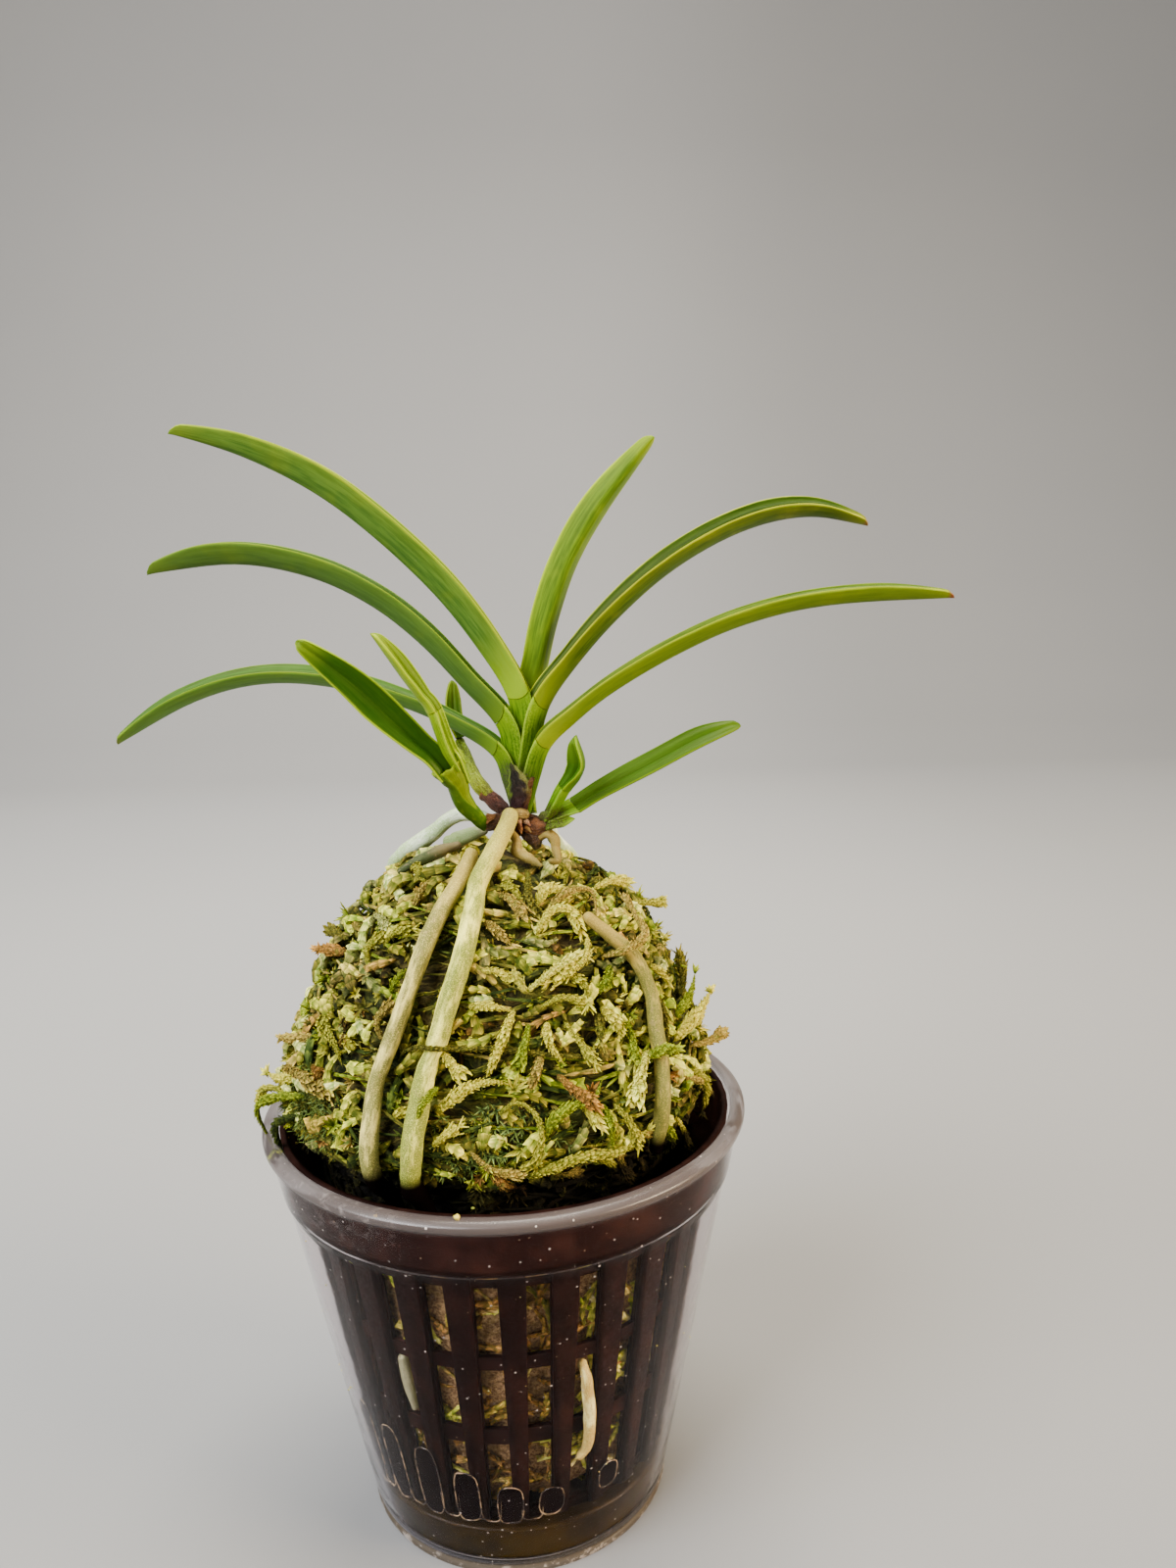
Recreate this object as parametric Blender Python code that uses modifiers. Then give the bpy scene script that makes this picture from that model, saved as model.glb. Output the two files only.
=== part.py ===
"""Wind orchid on a moss mound, in a slotted net pot inside a clear plastic cup.

Run with: blender --background --python part.py

Frame: +Z up, origin at the centre of the cup's underside, -Y towards the front, where the two long
roots lie. Lengths in the tables are millimetres, and MM turns them into Blender's metres.
"""

import math

import bmesh
import bpy
from mathutils import Matrix, Quaternion, Vector

MM = 0.001
GAP = 0.3  # clearance between pieces that touch

# ---------------------------------------------------------------- driving dimensions
RIM_RADIUS = 45.0  # outside of the clear cup's rim
RIM_TOP = 78.3
CUP_WALL = 1.0
CUP_FLOOR = 1.2
CUP_FOOT_RADIUS = 28.5
CUP_FLARE = 0.198  # outward growth of the cup's wall per unit of height
LEDGE_HEIGHT = 66.6  # the cup's inner step, which carries the net pot
LEDGE_WIDTH = 0.9

POT_BOTTOM = 11.0
POT_BOTTOM_RADIUS = 28.9
POT_FLARE = 0.168
POT_WALL = 2.2  # from inside to the face of the ribs
POT_FLOOR = 1.5
COLLAR_WALL = 1.2
CHANNEL_DEPTH = 1.4
CHANNEL_WIDTH = 4.5
CHANNEL_TOP = 64.5
COLUMNS = 26
FIRST_COLUMN = math.radians(-2.9)  # turned from the front
SLOT_WIDTH = 4.0
SLOT_TIERS = ((13.5, 28.3), (31.6, 44.6), (47.4, 61.8))
FLOOR_SLOTS = 8

# Radius, sideways shift and height of the moss from its top to its foot inside the net pot.
MOUND = (
    (0, -1, 127.2), (9, -1.2, 126.2), (15.8, -1.2, 123.6), (22.4, -0.8, 119.3), (27.8, -0.4, 113),
    (31.4, -0.4, 106), (34.2, -0.6, 99), (37.4, -1, 92.5), (39.4, -1.6, 87), (38.6, -1.6, 82.5),
    (35.4, -1, 78.5), (33.8, -0.4, 74), (33.8, 0, 66), (33.4, 0, 58), (30.6, 0, 40), (27.6, 0, 22),
    (26.2, 0, 15.2), (24, 0, 13.4), (12, 0, 12.9), (0, 0, 12.9),
)
MOUND_SIDES = 32
MOUND_RINGS = 26
CURVE_STEPS = 4  # smooth steps between two rows of MOUND, and of a route

LEAF_THICKNESS = 1.0
KEEL_UP = 1.7  # how far the bottom of a leaf's channel lies over its keel

# Each blade: its route along the keel from the joint to the tip (x, y, z), its side (-1 left,
# 1 right), the width of one half, then at base and tip the half angle of the fold and how far the
# open channel leans towards the front, in degrees, and the share of its length that tapers.
BLADES = {
    "blade_left_top": dict(
        route=((3, 0, 154.1), (-1.8, -0.6, 162.8), (-8.9, -1.4, 172.5), (-18.9, -2.4, 182.7),
               (-28.5, -3.2, 190.3), (-39.5, -4, 196.2), (-51.4, -5, 200.4)),
        side=-1, half=5.3, fold=(20, 28), lean=(0, 0), tip=0.36),
    "blade_left_middle": dict(
        route=((0.7, -0.4, 149.3), (-5.1, -0.1, 156.1), (-12.2, 0.3, 164), (-20.6, 1.1, 170.8),
               (-31, 2, 175.9), (-44, 2.9, 178.5), (-60.3, 4, 177.3)),
        side=-1, half=4.7, fold=(26, 30), lean=(3, 3), tip=0.2),
    "blade_left_low": dict(
        route=((0, -0.6, 143.6), (-5.3, -0.5, 147.6), (-14, 0.4, 152), (-27.3, 2.2, 156.2),
               (-40.8, 4, 157.2), (-54, 5.8, 154.2), (-70.1, 8, 146.4)),
        side=-1, half=3.7, fold=(30, 34), lean=(5, 18), tip=0.2),
    "blade_right_upright": dict(
        route=((8.4, 1.8, 155.4), (9.4, 2, 160), (11.5, 1.4, 168), (15.2, 0.4, 177.5),
               (20.9, -1, 186.8), (30.1, -3, 198)),
        side=1, half=3.8, fold=(44, 40), lean=(-68, -68), tip=0.45),
    "blade_right_top": dict(
        route=((10.8, -1, 151.8), (15.3, -0.3, 158.4), (23.4, 0.8, 167.2), (33.6, 1.9, 175.6),
               (45.7, 3.1, 181.8), (57.3, 4.2, 184.1), (68.4, 5, 182.4)),
        side=1, half=4.4, fold=(22, 34), lean=(22, 22), tip=0.28),
    "blade_right_low": dict(
        route=((11, -3, 145.1), (15.2, -3.3, 149.2), (22, -3.8, 154.5), (33.2, -4.7, 160.9),
               (45.1, -5.6, 165.9), (59, -6.6, 168.8), (80.2, -8, 169.7)),
        side=1, half=3.6, fold=(22, 34), lean=(8, 8), tip=0.2),
    "front_shoot_broad_blade": dict(
        route=((-8.9, -12.2, 145.2), (-11.4, -12.4, 147.8), (-14.9, -12.8, 151.6),
               (-21.3, -13.6, 158.5), (-30, -15.4, 166)),
        side=-1, half=3.3, fold=(46, 58), lean=(80, 80), tip=0.5),
    "front_shoot_young_blade": dict(
        route=((-9.4, -14.3, 153.6), (-10.9, -14.7, 156), (-13.6, -15.2, 160.2), (-17.7, -16, 166.9)),
        side=-1, half=2.3, fold=(24, 30), lean=(30, 30), tip=0.5),
    "back_shoot_blade": dict(
        route=((-6.6, 8.7, 145.8), (-7.5, 9.8, 149.2), (-7.9, 10.8, 152.4), (-7.8, 11.6, 156.4)),
        side=-1, half=2.3, fold=(42, 40), lean=(70, 70), tip=0.4),
    "right_shoot_long_blade": dict(
        route=((15.1, -4, 134.1), (20, -2.6, 136.7), (30, -1, 141.5), (38, 0.6, 145.2),
               (45.2, 2, 147.6)),
        side=1, half=2.5, fold=(28, 34), lean=(30, 30), tip=0.3),
    "right_shoot_upright_blade": dict(
        route=((14, -6.3, 138), (15.6, -6.5, 140.4), (16.3, -6.6, 143.4), (15.2, -6.6, 147.6)),
        side=1, half=2.5, fold=(26, 30), lean=(20, 20), tip=0.4),
}

# Each sheath of the stem: its keel from its foot to the joint with its blade, its width from keel
# to margin at foot and joint, its half thickness, its side and its lean.
STEM_SHEATHS = {
    "left_top": dict(route=((4.2, 0, 140), (3.6, 0, 148), (3, 0, 154.1)), side=-1,
                     half=(3.6, 4.7), fold=20, lean=0),
    "left_middle": dict(route=((3, -0.6, 138.5), (2, -0.5, 144.5), (0.7, -0.4, 149.3)), side=-1,
                        half=(3.8, 4.4), fold=25, lean=4),
    "left_low": dict(route=((3.2, -1.8, 134.6), (1.5, -1.2, 139.6), (0, -0.6, 143.6)), side=-1,
                     half=(4.0, 3.6), fold=29, lean=6),
    "right_upright": dict(route=((7, 0.4, 140), (7.8, 1, 148), (8.4, 1.8, 155.4)), side=1,
                          half=(3.0, 3.3), fold=40, lean=-60),
    "right_top": dict(route=((7.4, -1, 138), (9.2, -1, 145), (10.8, -1, 151.8)), side=1,
                      half=(3.8, 4.7), fold=22, lean=10),
    "right_low": dict(route=((7, -3, 134.9), (9.2, -3, 140.4), (11, -3, 145.1)), side=1,
                      half=(3.8, 3.9), fold=22, lean=8),
}
FRONT_SHOOT_SHEATHS = {
    "foot": dict(route=((-2, -6.2, 132), (-4, -8.8, 136.6), (-6.8, -11.2, 141.4), (-8.9, -12.2, 145)),
                 side=-1, half=(3.0, 3.2), fold=32, lean=40),
    "young": dict(route=((-4.6, -9.6, 139.8), (-7.2, -12.8, 146.6), (-9.4, -14.3, 153.6)), side=-1,
                  half=(3.0, 2.6), fold=26, lean=30),
}
RIGHT_SHOOT_SHEATHS = {
    "foot": dict(route=((10.8, -4.6, 131.9), (13, -4.4, 133), (15.1, -4, 134.1)), side=1,
                 half=(2.5, 2.3), fold=34, lean=30),
    "upright": dict(route=((11.2, -4.9, 132.6), (12.7, -5.9, 135.4), (14, -6.3, 138)), side=1,
                    half=(2.2, 2.2), fold=32, lean=20),
    "bract": dict(route=((11, -5.4, 131.2), (12.6, -5.8, 131.6), (14.6, -6.2, 132.8)), side=1,
                  half=(1.8, 0.5), fold=34, lean=40),
}

# Round pieces: centre line and radius, row by row.
CROWN = ((0.9, -2.6, 131.2, 1.9), (2.9, -2.6, 131.8, 2.2), (5, -2.6, 131.6, 2.6), (7.4, -3, 131.3, 2.2),
         (9.3, -3.4, 131.3, 1.6))
CROWN_KNOB = ((6.6, -3, 131, 1.6), (7.4, -3.4, 129.2, 1.8), (7.7, -3.4, 127.7, 1.0))
OLD_SHEATH = ((4.9, -6, 135.2, 1.1), (5.2, -6.5, 137.2, 1.5), (4.6, -6.4, 139.6, 1.3), (3.8, -5.9, 142.4, 0.5))
BACK_SHOOT = ((2.6, 1.3, 133.2, 1.2), (0.4, 3.6, 135.3, 1.7), (-2.2, 5.4, 137.6, 1.6), (-4.2, 6.8, 140.8, 1.2),
              (-5.6, 7.8, 143, 1.1), (-6.4, 8.5, 144.8, 1.1))

# Roots that lie on the moss: points clear of it first (x, y, z), then points on it as the angle
# from the front and the distance down from its top.
ROOTS = {
    "root_front_long": dict(radius=1.65, clear=((3, -7.1, 132.9), (1.4, -9.8, 130)),
                            laid=((-1.5, 17.5), (-3.6, 24), (-6.5, 31), (-9.8, 38), (-12, 44), (-14, 49),
                                  (-14.4, 55), (-14.2, 60), (-15, 65), (-15.5, 70), (-15.5, 77))),
    "root_front_left": dict(radius=1.4, clear=(),
                            laid=((-12, 10), (-13.4, 18.6), (-17.4, 24), (-20.6, 31), (-23, 38),
                                  (-25.5, 45), (-27, 51.5), (-25.8, 57), (-24.6, 62), (-24.6, 66),
                                  (-25, 71), (-25, 77))),
    "root_right": dict(radius=1.3, clear=(),
                       laid=((42, 27), (47, 31), (53, 36), (54, 42), (51.5, 48), (49, 54),
                             (46, 60), (45, 66))),
    "root_back_left": dict(radius=1.25, clear=((0.4, 0.6, 130.8), (-3, 2.2, 132.2), (-6.5, 3.6, 132.3),
                                               (-9.3, 4.4, 130.8), (-12, 5.2, 128.4)),
                           laid=((-116, 19), (-124, 26), (-130, 34), (-134, 43))),
    "root_back": dict(radius=1.3, clear=((6.6, 1.4, 131), (8.2, 5, 130.6), (9.6, 9, 128.6)),
                      laid=((140, 18), (146, 28), (150, 40), (148, 52), (152, 63), (153, 72))),
    "root_stub_left": dict(radius=1.15, clear=((-1.9, -1, 130.2), (-3.8, -1.4, 129.7)),
                           laid=((-72, 7), (-76, 10))),
    "root_short_front": dict(radius=0.75, clear=((5.6, -6.4, 130.4), (6.3, -8.6, 129.2)),
                             laid=((30, 12.6), (31, 15.5), (33, 18))),
    "root_old_left": dict(radius=0.8, clear=(), laid=((-52, 6.5), (-56, 10), (-60, 14), (-62, 17))),
    "root_curl_right": dict(radius=0.75, clear=((8.6, -1.2, 128.4), (10.4, -1.8, 130), (12, -2.6, 129.4)),
                            laid=((74, 13.2), (66, 14.8))),
}
# Roots that show at the slots of the net pot: column counted from the front one, to the right,
# with the radius as the distance from the pot's axis, then the turn in degrees and the height.
SLOT_ROOTS = {
    "root_out_of_slot": dict(radius=0.85, column=2,
                             route=((33, -0.8, 43.4), (34.2, -0.4, 41.4), (33.6, 0.2, 38.6),
                                    (32.6, 1.4, 33.3), (31.6, 1.8, 27.8), (31.1, 1, 25.2),
                                    (30.85, -1, 23.8))),
    "root_behind_slot": dict(radius=0.8, column=-2,
                             route=((32.4, -1.8, 43.4), (31.9, -1.6, 40), (31.3, -1.2, 36.4),
                                    (30.7, -0.8, 32.8))),
}

LEAF_GREEN = (0.11, 0.26, 0.03)
SHEATH_GREEN = (0.28, 0.42, 0.07)
YOUNG_GREEN = (0.24, 0.42, 0.03)
ROOT_TAN = (0.42, 0.40, 0.21)
ROOT_SILVER = (0.50, 0.55, 0.42)
CROWN_BROWN = (0.22, 0.08, 0.05)
PURPLE = (0.10, 0.03, 0.04)
MOSS_GREEN = (0.33, 0.33, 0.11)
CLEAR_SMOKE = (0.45, 0.42, 0.45)
POT_BLACK = (0.015, 0.014, 0.017)


# ---------------------------------------------------------------- scene and helpers
def clear_scene():
    for obj in list(bpy.data.objects):
        bpy.data.objects.remove(obj, do_unlink=True)


def new_collection(name):
    collection = bpy.data.collections.new(name)
    bpy.context.scene.collection.children.link(collection)
    return collection


def material(name, colour, roughness=0.5, alpha=1.0):
    made = bpy.data.materials.new(name)
    made.use_nodes = True
    shader = made.node_tree.nodes["Principled BSDF"]
    shader.inputs["Base Color"].default_value = (*colour, 1.0)
    shader.inputs["Roughness"].default_value = roughness
    shader.inputs["Metallic"].default_value = 0.0
    shader.inputs["Alpha"].default_value = alpha
    return made


def add_object(name, data, collection, finish=None):
    obj = bpy.data.objects.new(name, data)
    collection.objects.link(obj)
    if finish is not None:
        obj.data.materials.append(finish)
    return obj


def add_mesh(name, bm, collection, finish=None, smooth=True):
    mesh = bpy.data.meshes.new(name)
    bmesh.ops.recalc_face_normals(bm, faces=bm.faces)
    bm.to_mesh(mesh)
    bm.free()
    if smooth:
        mesh.shade_smooth()
        mesh.set_sharp_from_angle(angle=math.radians(40))
    return add_object(name, mesh, collection, finish)


def hide_cutter(obj):
    obj.hide_render = True
    obj.display_type = "WIRE"


def boolean(obj, other, operation):
    modifier = obj.modifiers.new(operation.title(), "BOOLEAN")
    modifier.operation = operation
    modifier.object = other
    modifier.solver = "EXACT"


def smooth_rows(rows, steps=CURVE_STEPS):
    """A smooth curve through the rows, with `steps` points from each row to the next."""
    rows = [Vector(row) for row in rows]
    ends = [2 * rows[0] - rows[1]] + rows + [2 * rows[-1] - rows[-2]]
    points = []
    for before, start, stop, after in zip(ends, ends[1:], ends[2:], ends[3:]):
        for step in range(steps):
            t = step / steps
            points.append(0.5 * (2 * start + (stop - before) * t
                                 + (2 * before - 5 * start + 4 * stop - after) * t ** 2
                                 + (3 * start - before - 3 * stop + after) * t ** 3))
    points.append(rows[-1])
    return points


def lengths_along(points):
    total = [0.0]
    for start, stop in zip(points, points[1:]):
        total.append(total[-1] + (stop - start).length)
    return total


def at_length(points, along, wanted):
    """The point and the direction of the curve at a length measured along it."""
    wanted = min(max(wanted, 0.0), along[-1])
    last = len(points) - 2
    index = next((i for i in range(last) if along[i + 1] >= wanted), last)
    share = (wanted - along[index]) / (along[index + 1] - along[index])
    return points[index].lerp(points[index + 1], share), (points[index + 1] - points[index]).normalized()


def tangents(points):
    last = len(points) - 1
    return [(points[min(i + 1, last)] - points[max(i - 1, 0)]).normalized() for i in range(last + 1)]


def loft(name, sections, collection, finish=None):
    """A closed solid through sections that all have the same number of points, in millimetres."""
    bm = bmesh.new()
    rings = [[bm.verts.new(point * MM) for point in section] for section in sections]
    count = len(rings[0])
    for ring, other in zip(rings, rings[1:]):
        for i in range(count):
            bm.faces.new((ring[i], ring[(i + 1) % count], other[(i + 1) % count], other[i]))
    bm.faces.new(rings[0])
    bm.faces.new(reversed(rings[-1]))
    return add_mesh(name, bm, collection, finish)


# ---------------------------------------------------------------- the two pots
def turned(name, profile, sides, collection, finish):
    """A body of revolution. The profile runs from the axis up the inside and down the outside."""
    bm = bmesh.new()
    verts = [bm.verts.new((radius * MM, 0, height * MM)) for radius, height in profile]
    for start, stop in zip(verts, verts[1:]):
        bm.edges.new((start, stop))
    mesh = bpy.data.meshes.new(name)
    bm.to_mesh(mesh)
    bm.free()
    obj = add_object(name, mesh, collection, finish)
    screw = obj.modifiers.new("Turn", "SCREW")
    screw.steps = screw.render_steps = sides
    screw.use_merge_vertices = True
    screw.merge_threshold = 0.00001
    return obj


def cup_radius(height):
    """Outside of the cup's tapered wall under the ledge."""
    return CUP_FOOT_RADIUS + CUP_FLARE * height


def pot_radius(height):
    """Outside of the net pot's ribs."""
    return POT_BOTTOM_RADIUS + POT_FLARE * (height - POT_BOTTOM)


def make_cup(collection, finish):
    under, over = LEDGE_HEIGHT - 1.0, LEDGE_HEIGHT + 0.6
    step_out = cup_radius(over) + LEDGE_WIDTH / 2
    flange_in = RIM_RADIUS - 2.7
    profile = (
        (0, CUP_FLOOR), (cup_radius(0) - 2.6, CUP_FLOOR), (cup_radius(3) - CUP_WALL, 3),
        (cup_radius(under) - CUP_WALL, under), (cup_radius(over) - CUP_WALL - 0.35, LEDGE_HEIGHT),
        (step_out - CUP_WALL, LEDGE_HEIGHT), (step_out - CUP_WALL + 0.1, over),
        (flange_in, RIM_TOP - 1.6), (flange_in, RIM_TOP - 0.3), (flange_in + 0.5, RIM_TOP),
        (RIM_RADIUS - 1, RIM_TOP - 0.1), (RIM_RADIUS, RIM_TOP - 0.8), (RIM_RADIUS, RIM_TOP - 1.8),
        (RIM_RADIUS - 0.7, RIM_TOP - 2.3), (RIM_RADIUS - 1.2, RIM_TOP - 3.2),
        (step_out, over), (cup_radius(under), under), (cup_radius(2.6), 2.6),
        (CUP_FOOT_RADIUS + 0.1, 2.1), (CUP_FOOT_RADIUS + 0.45, 1.5), (CUP_FOOT_RADIUS + 0.3, 0.5),
        (CUP_FOOT_RADIUS - 0.5, 0), (0, 0),
    )
    return turned("outer_cup", profile, 52, collection, finish)


def make_net_pot(collection, cutters, finish):
    shoulder = LEDGE_HEIGHT + GAP
    collar = cup_radius(LEDGE_HEIGHT + 0.6) + LEDGE_WIDTH / 2 - CUP_WALL - 0.4
    top = RIM_TOP - 0.6
    lip = RIM_RADIUS - 2.7 - 0.4
    floor = POT_BOTTOM + POT_FLOOR
    profile = (
        (0, floor), (pot_radius(floor) - POT_WALL - 0.8, floor), (pot_radius(floor) - POT_WALL, floor + 0.8),
        (pot_radius(shoulder) - POT_WALL, shoulder), (collar - COLLAR_WALL, shoulder + 2),
        (lip - COLLAR_WALL, top - 0.3), (lip - COLLAR_WALL + 0.3, top), (lip - 0.3, top), (lip, top - 0.3),
        (collar, shoulder + 1), (collar, shoulder), (collar - 1.3, shoulder),
        (pot_radius(shoulder - 0.9), shoulder - 0.9),
        (pot_radius(POT_BOTTOM + 1), POT_BOTTOM + 1), (pot_radius(POT_BOTTOM) - 1, POT_BOTTOM),
        (0, POT_BOTTOM),
    )
    pot = turned("net_pot", profile, 2 * COLUMNS, collection, finish)
    for cutter in (channel_cutter(cutters), slot_cutter(cutters), floor_cutter(cutters)):
        boolean(pot, cutter, "DIFFERENCE")
    return pot


def box(bm, size, place):
    """A box of that size in millimetres, moved by the matrix, whose translation is in metres."""
    made = bmesh.ops.create_cube(bm, size=1.0)
    scale = Matrix.Diagonal((*(part * MM for part in size), 1.0))
    bmesh.ops.transform(bm, matrix=place @ scale, verts=made["verts"])


def column_turn(column):
    """The turn about Z that brings the front, -Y, to a column of slots."""
    return FIRST_COLUMN + column * 2 * math.pi / COLUMNS


def cutter_object(name, bm, cutters):
    obj = add_mesh(name, bm, cutters, smooth=False)
    hide_cutter(obj)
    return obj


def channel_cutter(cutters):
    """The shallow upright channels outside the slots, which leave the ribs standing."""
    bm = bmesh.new()
    low = POT_BOTTOM - 4
    middle = (low + CHANNEL_TOP) / 2
    slope = math.atan(POT_FLARE)
    thick = 6.0
    reach = pot_radius(middle) - CHANNEL_DEPTH + thick / 2 / math.cos(slope)
    length = (CHANNEL_TOP - low) / math.cos(slope)
    for column in range(COLUMNS):
        place = (Matrix.Rotation(column_turn(column), 4, "Z")
                 @ Matrix.Translation((0, -reach * MM, middle * MM))
                 @ Matrix.Rotation(slope, 4, "X"))
        box(bm, (CHANNEL_WIDTH, thick, length), place)
    return cutter_object("channel_cutter", bm, cutters)


def slot_cutter(cutters):
    bm = bmesh.new()
    for column in range(COLUMNS):
        for low, high in SLOT_TIERS:
            middle = (low + high) / 2
            place = (Matrix.Rotation(column_turn(column), 4, "Z")
                     @ Matrix.Translation((0, -pot_radius(middle) * MM, middle * MM)))
            box(bm, (SLOT_WIDTH, 12, high - low), place)
    return cutter_object("slot_cutter", bm, cutters)


def floor_cutter(cutters):
    bm = bmesh.new()
    for index in range(FLOOR_SLOTS):
        place = (Matrix.Rotation(index * 2 * math.pi / FLOOR_SLOTS, 4, "Z")
                 @ Matrix.Translation((0, -15 * MM, (POT_BOTTOM + POT_FLOOR / 2) * MM)))
        box(bm, (3, 14, 4), place)
    return cutter_object("floor_cutter", bm, cutters)


# ---------------------------------------------------------------- the moss
MOUND_CURVE = smooth_rows(MOUND)
MOUND_LENGTHS = lengths_along(MOUND_CURVE)


def on_mound(angle, down, lift=0.0):
    """A point over the moss: the turn from the front in degrees, and the length down from its top."""
    point, direction = at_length(MOUND_CURVE, MOUND_LENGTHS, down)
    radius = point.x - direction.z * lift
    height = point.z + direction.x * lift
    turn = math.radians(angle)
    return Vector((point.y + radius * math.sin(turn), -radius * math.cos(turn), height))


def make_moss(collection, finish):
    bm = bmesh.new()
    bmesh.ops.create_uvsphere(bm, u_segments=MOUND_SIDES, v_segments=MOUND_RINGS, radius=1.0)
    for vert in bm.verts:
        share = math.acos(max(-1.0, min(1.0, vert.co.z))) / math.pi
        turn = math.degrees(math.atan2(vert.co.x, -vert.co.y))
        vert.co = on_mound(turn, share * MOUND_LENGTHS[-1]) * MM
    return add_mesh("moss_mound", bm, collection, finish)


# ---------------------------------------------------------------- leaves and stems
def leaf_axes(direction, side, lean):
    """Where the channel of a leaf opens to, and the direction of its front half."""
    up = Vector((0, 1, 0)).cross(direction) * -side
    up.normalize()
    front = direction.cross(up)
    front.normalize()
    if front.y > 0:
        front.negate()
    turn = math.radians(lean)
    return up * math.cos(turn) + front * math.sin(turn), front * math.cos(turn) - up * math.sin(turn)


def halves(up, front, fold):
    """The direction of each half of the fold from its keel, and the way that half faces outwards."""
    for sign in (1, -1):
        along = up * math.cos(fold) + front * sign * math.sin(fold)
        outward = front * sign * math.cos(fold) - up * math.sin(fold)
        yield along, outward


def blade_width(share, tip):
    """Width of a blade along its length, as a share of its greatest width."""
    base = 0.86 + 0.14 * math.sin(min(share / 0.35, 1.0) * math.pi / 2)
    return base * min(1.0, (max(1.0 - share, 0.0) / tip) ** 0.55)


def make_blade(name, collection, finish, route, side, half, fold, lean, tip):
    points = smooth_rows(route, 2)
    ways = tangents(points)
    points[0] = points[0] + ways[0] * GAP
    along = lengths_along(points)
    sections = []
    for point, way, length in zip(points, ways, along):
        share = length / along[-1]
        width = max(half * blade_width(share, tip), 0.35)
        opening = min(share * 2, 1.0)
        angle = math.radians(fold[0] + (fold[1] - fold[0]) * opening)
        thick = min(LEAF_THICKNESS, 0.5 * width * math.tan(angle))
        up, front = leaf_axes(way, side, lean[0] + (lean[1] - lean[0]) * opening)
        (near, near_out), (far, far_out) = halves(up, front, angle)
        channel = point + up * min(KEEL_UP, 0.55 * width)
        sections.append((
            point + near * width, point + near * width * 0.5 + near_out * 0.25 * thick, point - up * 0.15,
            point + far * width * 0.5 + far_out * 0.25 * thick, point + far * width,
            point + far * width - far_out * 0.55 * thick,
            point + far * width * 0.55 - far_out * 0.9 * thick, channel,
            point + near * width * 0.55 - near_out * 0.9 * thick,
            point + near * width - near_out * 0.55 * thick,
        ))
    return loft(name, sections, collection, finish)


def make_sheath(name, collection, finish, route, side, half, fold, lean):
    """A clasping leaf foot, filled between its two halves."""
    points = smooth_rows(route, 2)
    ways = tangents(points)
    last = len(points) - 1
    angle = math.radians(fold)
    sections = []
    for index, (point, way) in enumerate(zip(points, ways)):
        width = half[0] + (half[1] - half[0]) * index / last
        up, front = leaf_axes(way, side, lean)
        (near, near_out), (far, far_out) = halves(up, front, angle)
        sections.append((
            point + near * width, point + near * width * 0.5 + near_out * 0.3, point - up * 0.15,
            point + far * width * 0.5 + far_out * 0.3, point + far * width,
            point + up * width * 0.8,
        ))
    return loft(name, sections, collection, finish)


def make_joined(name, sheaths, collection, cutters, finish):
    """One body from overlapping sheaths."""
    made = [make_sheath(f"{name}_{part}", cutters, finish, **shape) for part, shape in sheaths.items()]
    return join_bodies(name, made, collection)


def join_bodies(name, bodies, collection):
    first, *others = bodies
    first.name = name
    for old in first.users_collection:
        old.objects.unlink(first)
    collection.objects.link(first)
    for other in others:
        hide_cutter(other)
        boolean(first, other, "UNION")
    return first


def make_round(name, rows, collection, finish, sides=10):
    """A round stem whose radius changes from row to row, with domed ends."""
    rows = smooth_rows(rows, 2)
    points = [Vector(row[:3]) for row in rows]
    ways = tangents(points)
    sections = []

    def ring(point, way, radius):
        aside = way.orthogonal().normalized()
        turn = [Quaternion(way, 2 * math.pi * i / sides) for i in range(sides)]
        sections.append([point + (quaternion @ aside) * radius for quaternion in turn])

    ring(points[0] - ways[0] * rows[0][3] * 0.45, ways[0], rows[0][3] * 0.6)
    for row, point, way in zip(rows, points, ways):
        ring(point, way, row[3])
    ring(points[-1] + ways[-1] * rows[-1][3] * 0.45, ways[-1], rows[-1][3] * 0.6)
    align_rings(sections)
    return loft(name, sections, collection, finish)


def align_rings(sections):
    """Turn each ring so that its first point follows the one before it."""
    for before, ring in zip(sections, sections[1:]):
        nearest = min(range(len(ring)), key=lambda i: (ring[i] - before[0]).length)
        ring[:] = ring[nearest:] + ring[:nearest]


# ---------------------------------------------------------------- roots
def make_cord(name, points, radius, collection, finish):
    curve = bpy.data.curves.new(name, "CURVE")
    curve.dimensions = "3D"
    curve.bevel_depth = radius * MM
    curve.bevel_resolution = 2
    curve.use_fill_caps = True
    spline = curve.splines.new("POLY")
    spline.points.add(len(points) - 1)
    for target, point in zip(spline.points, points):
        target.co = (*(point * MM), 1.0)
    return add_object(name, curve, collection, finish)


def laid_root(name, collection, finish, radius, clear, laid):
    """A root that leaves the crown in the air and then lies on the moss."""
    rows = [Vector(row) for row in clear]
    rows += [on_mound(angle, down, radius + GAP + 0.3) for angle, down in laid]
    return make_cord(name, smooth_rows(rows, 2), radius, collection, finish)


def slot_root(name, collection, finish, radius, column, route):
    rows = []
    for reach, turn, height in route:
        angle = column_turn(column) + math.radians(turn)
        rows.append(Vector((reach * math.sin(angle), -reach * math.cos(angle), height)))
    return make_cord(name, smooth_rows(rows, 2), radius, collection, finish)


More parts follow.
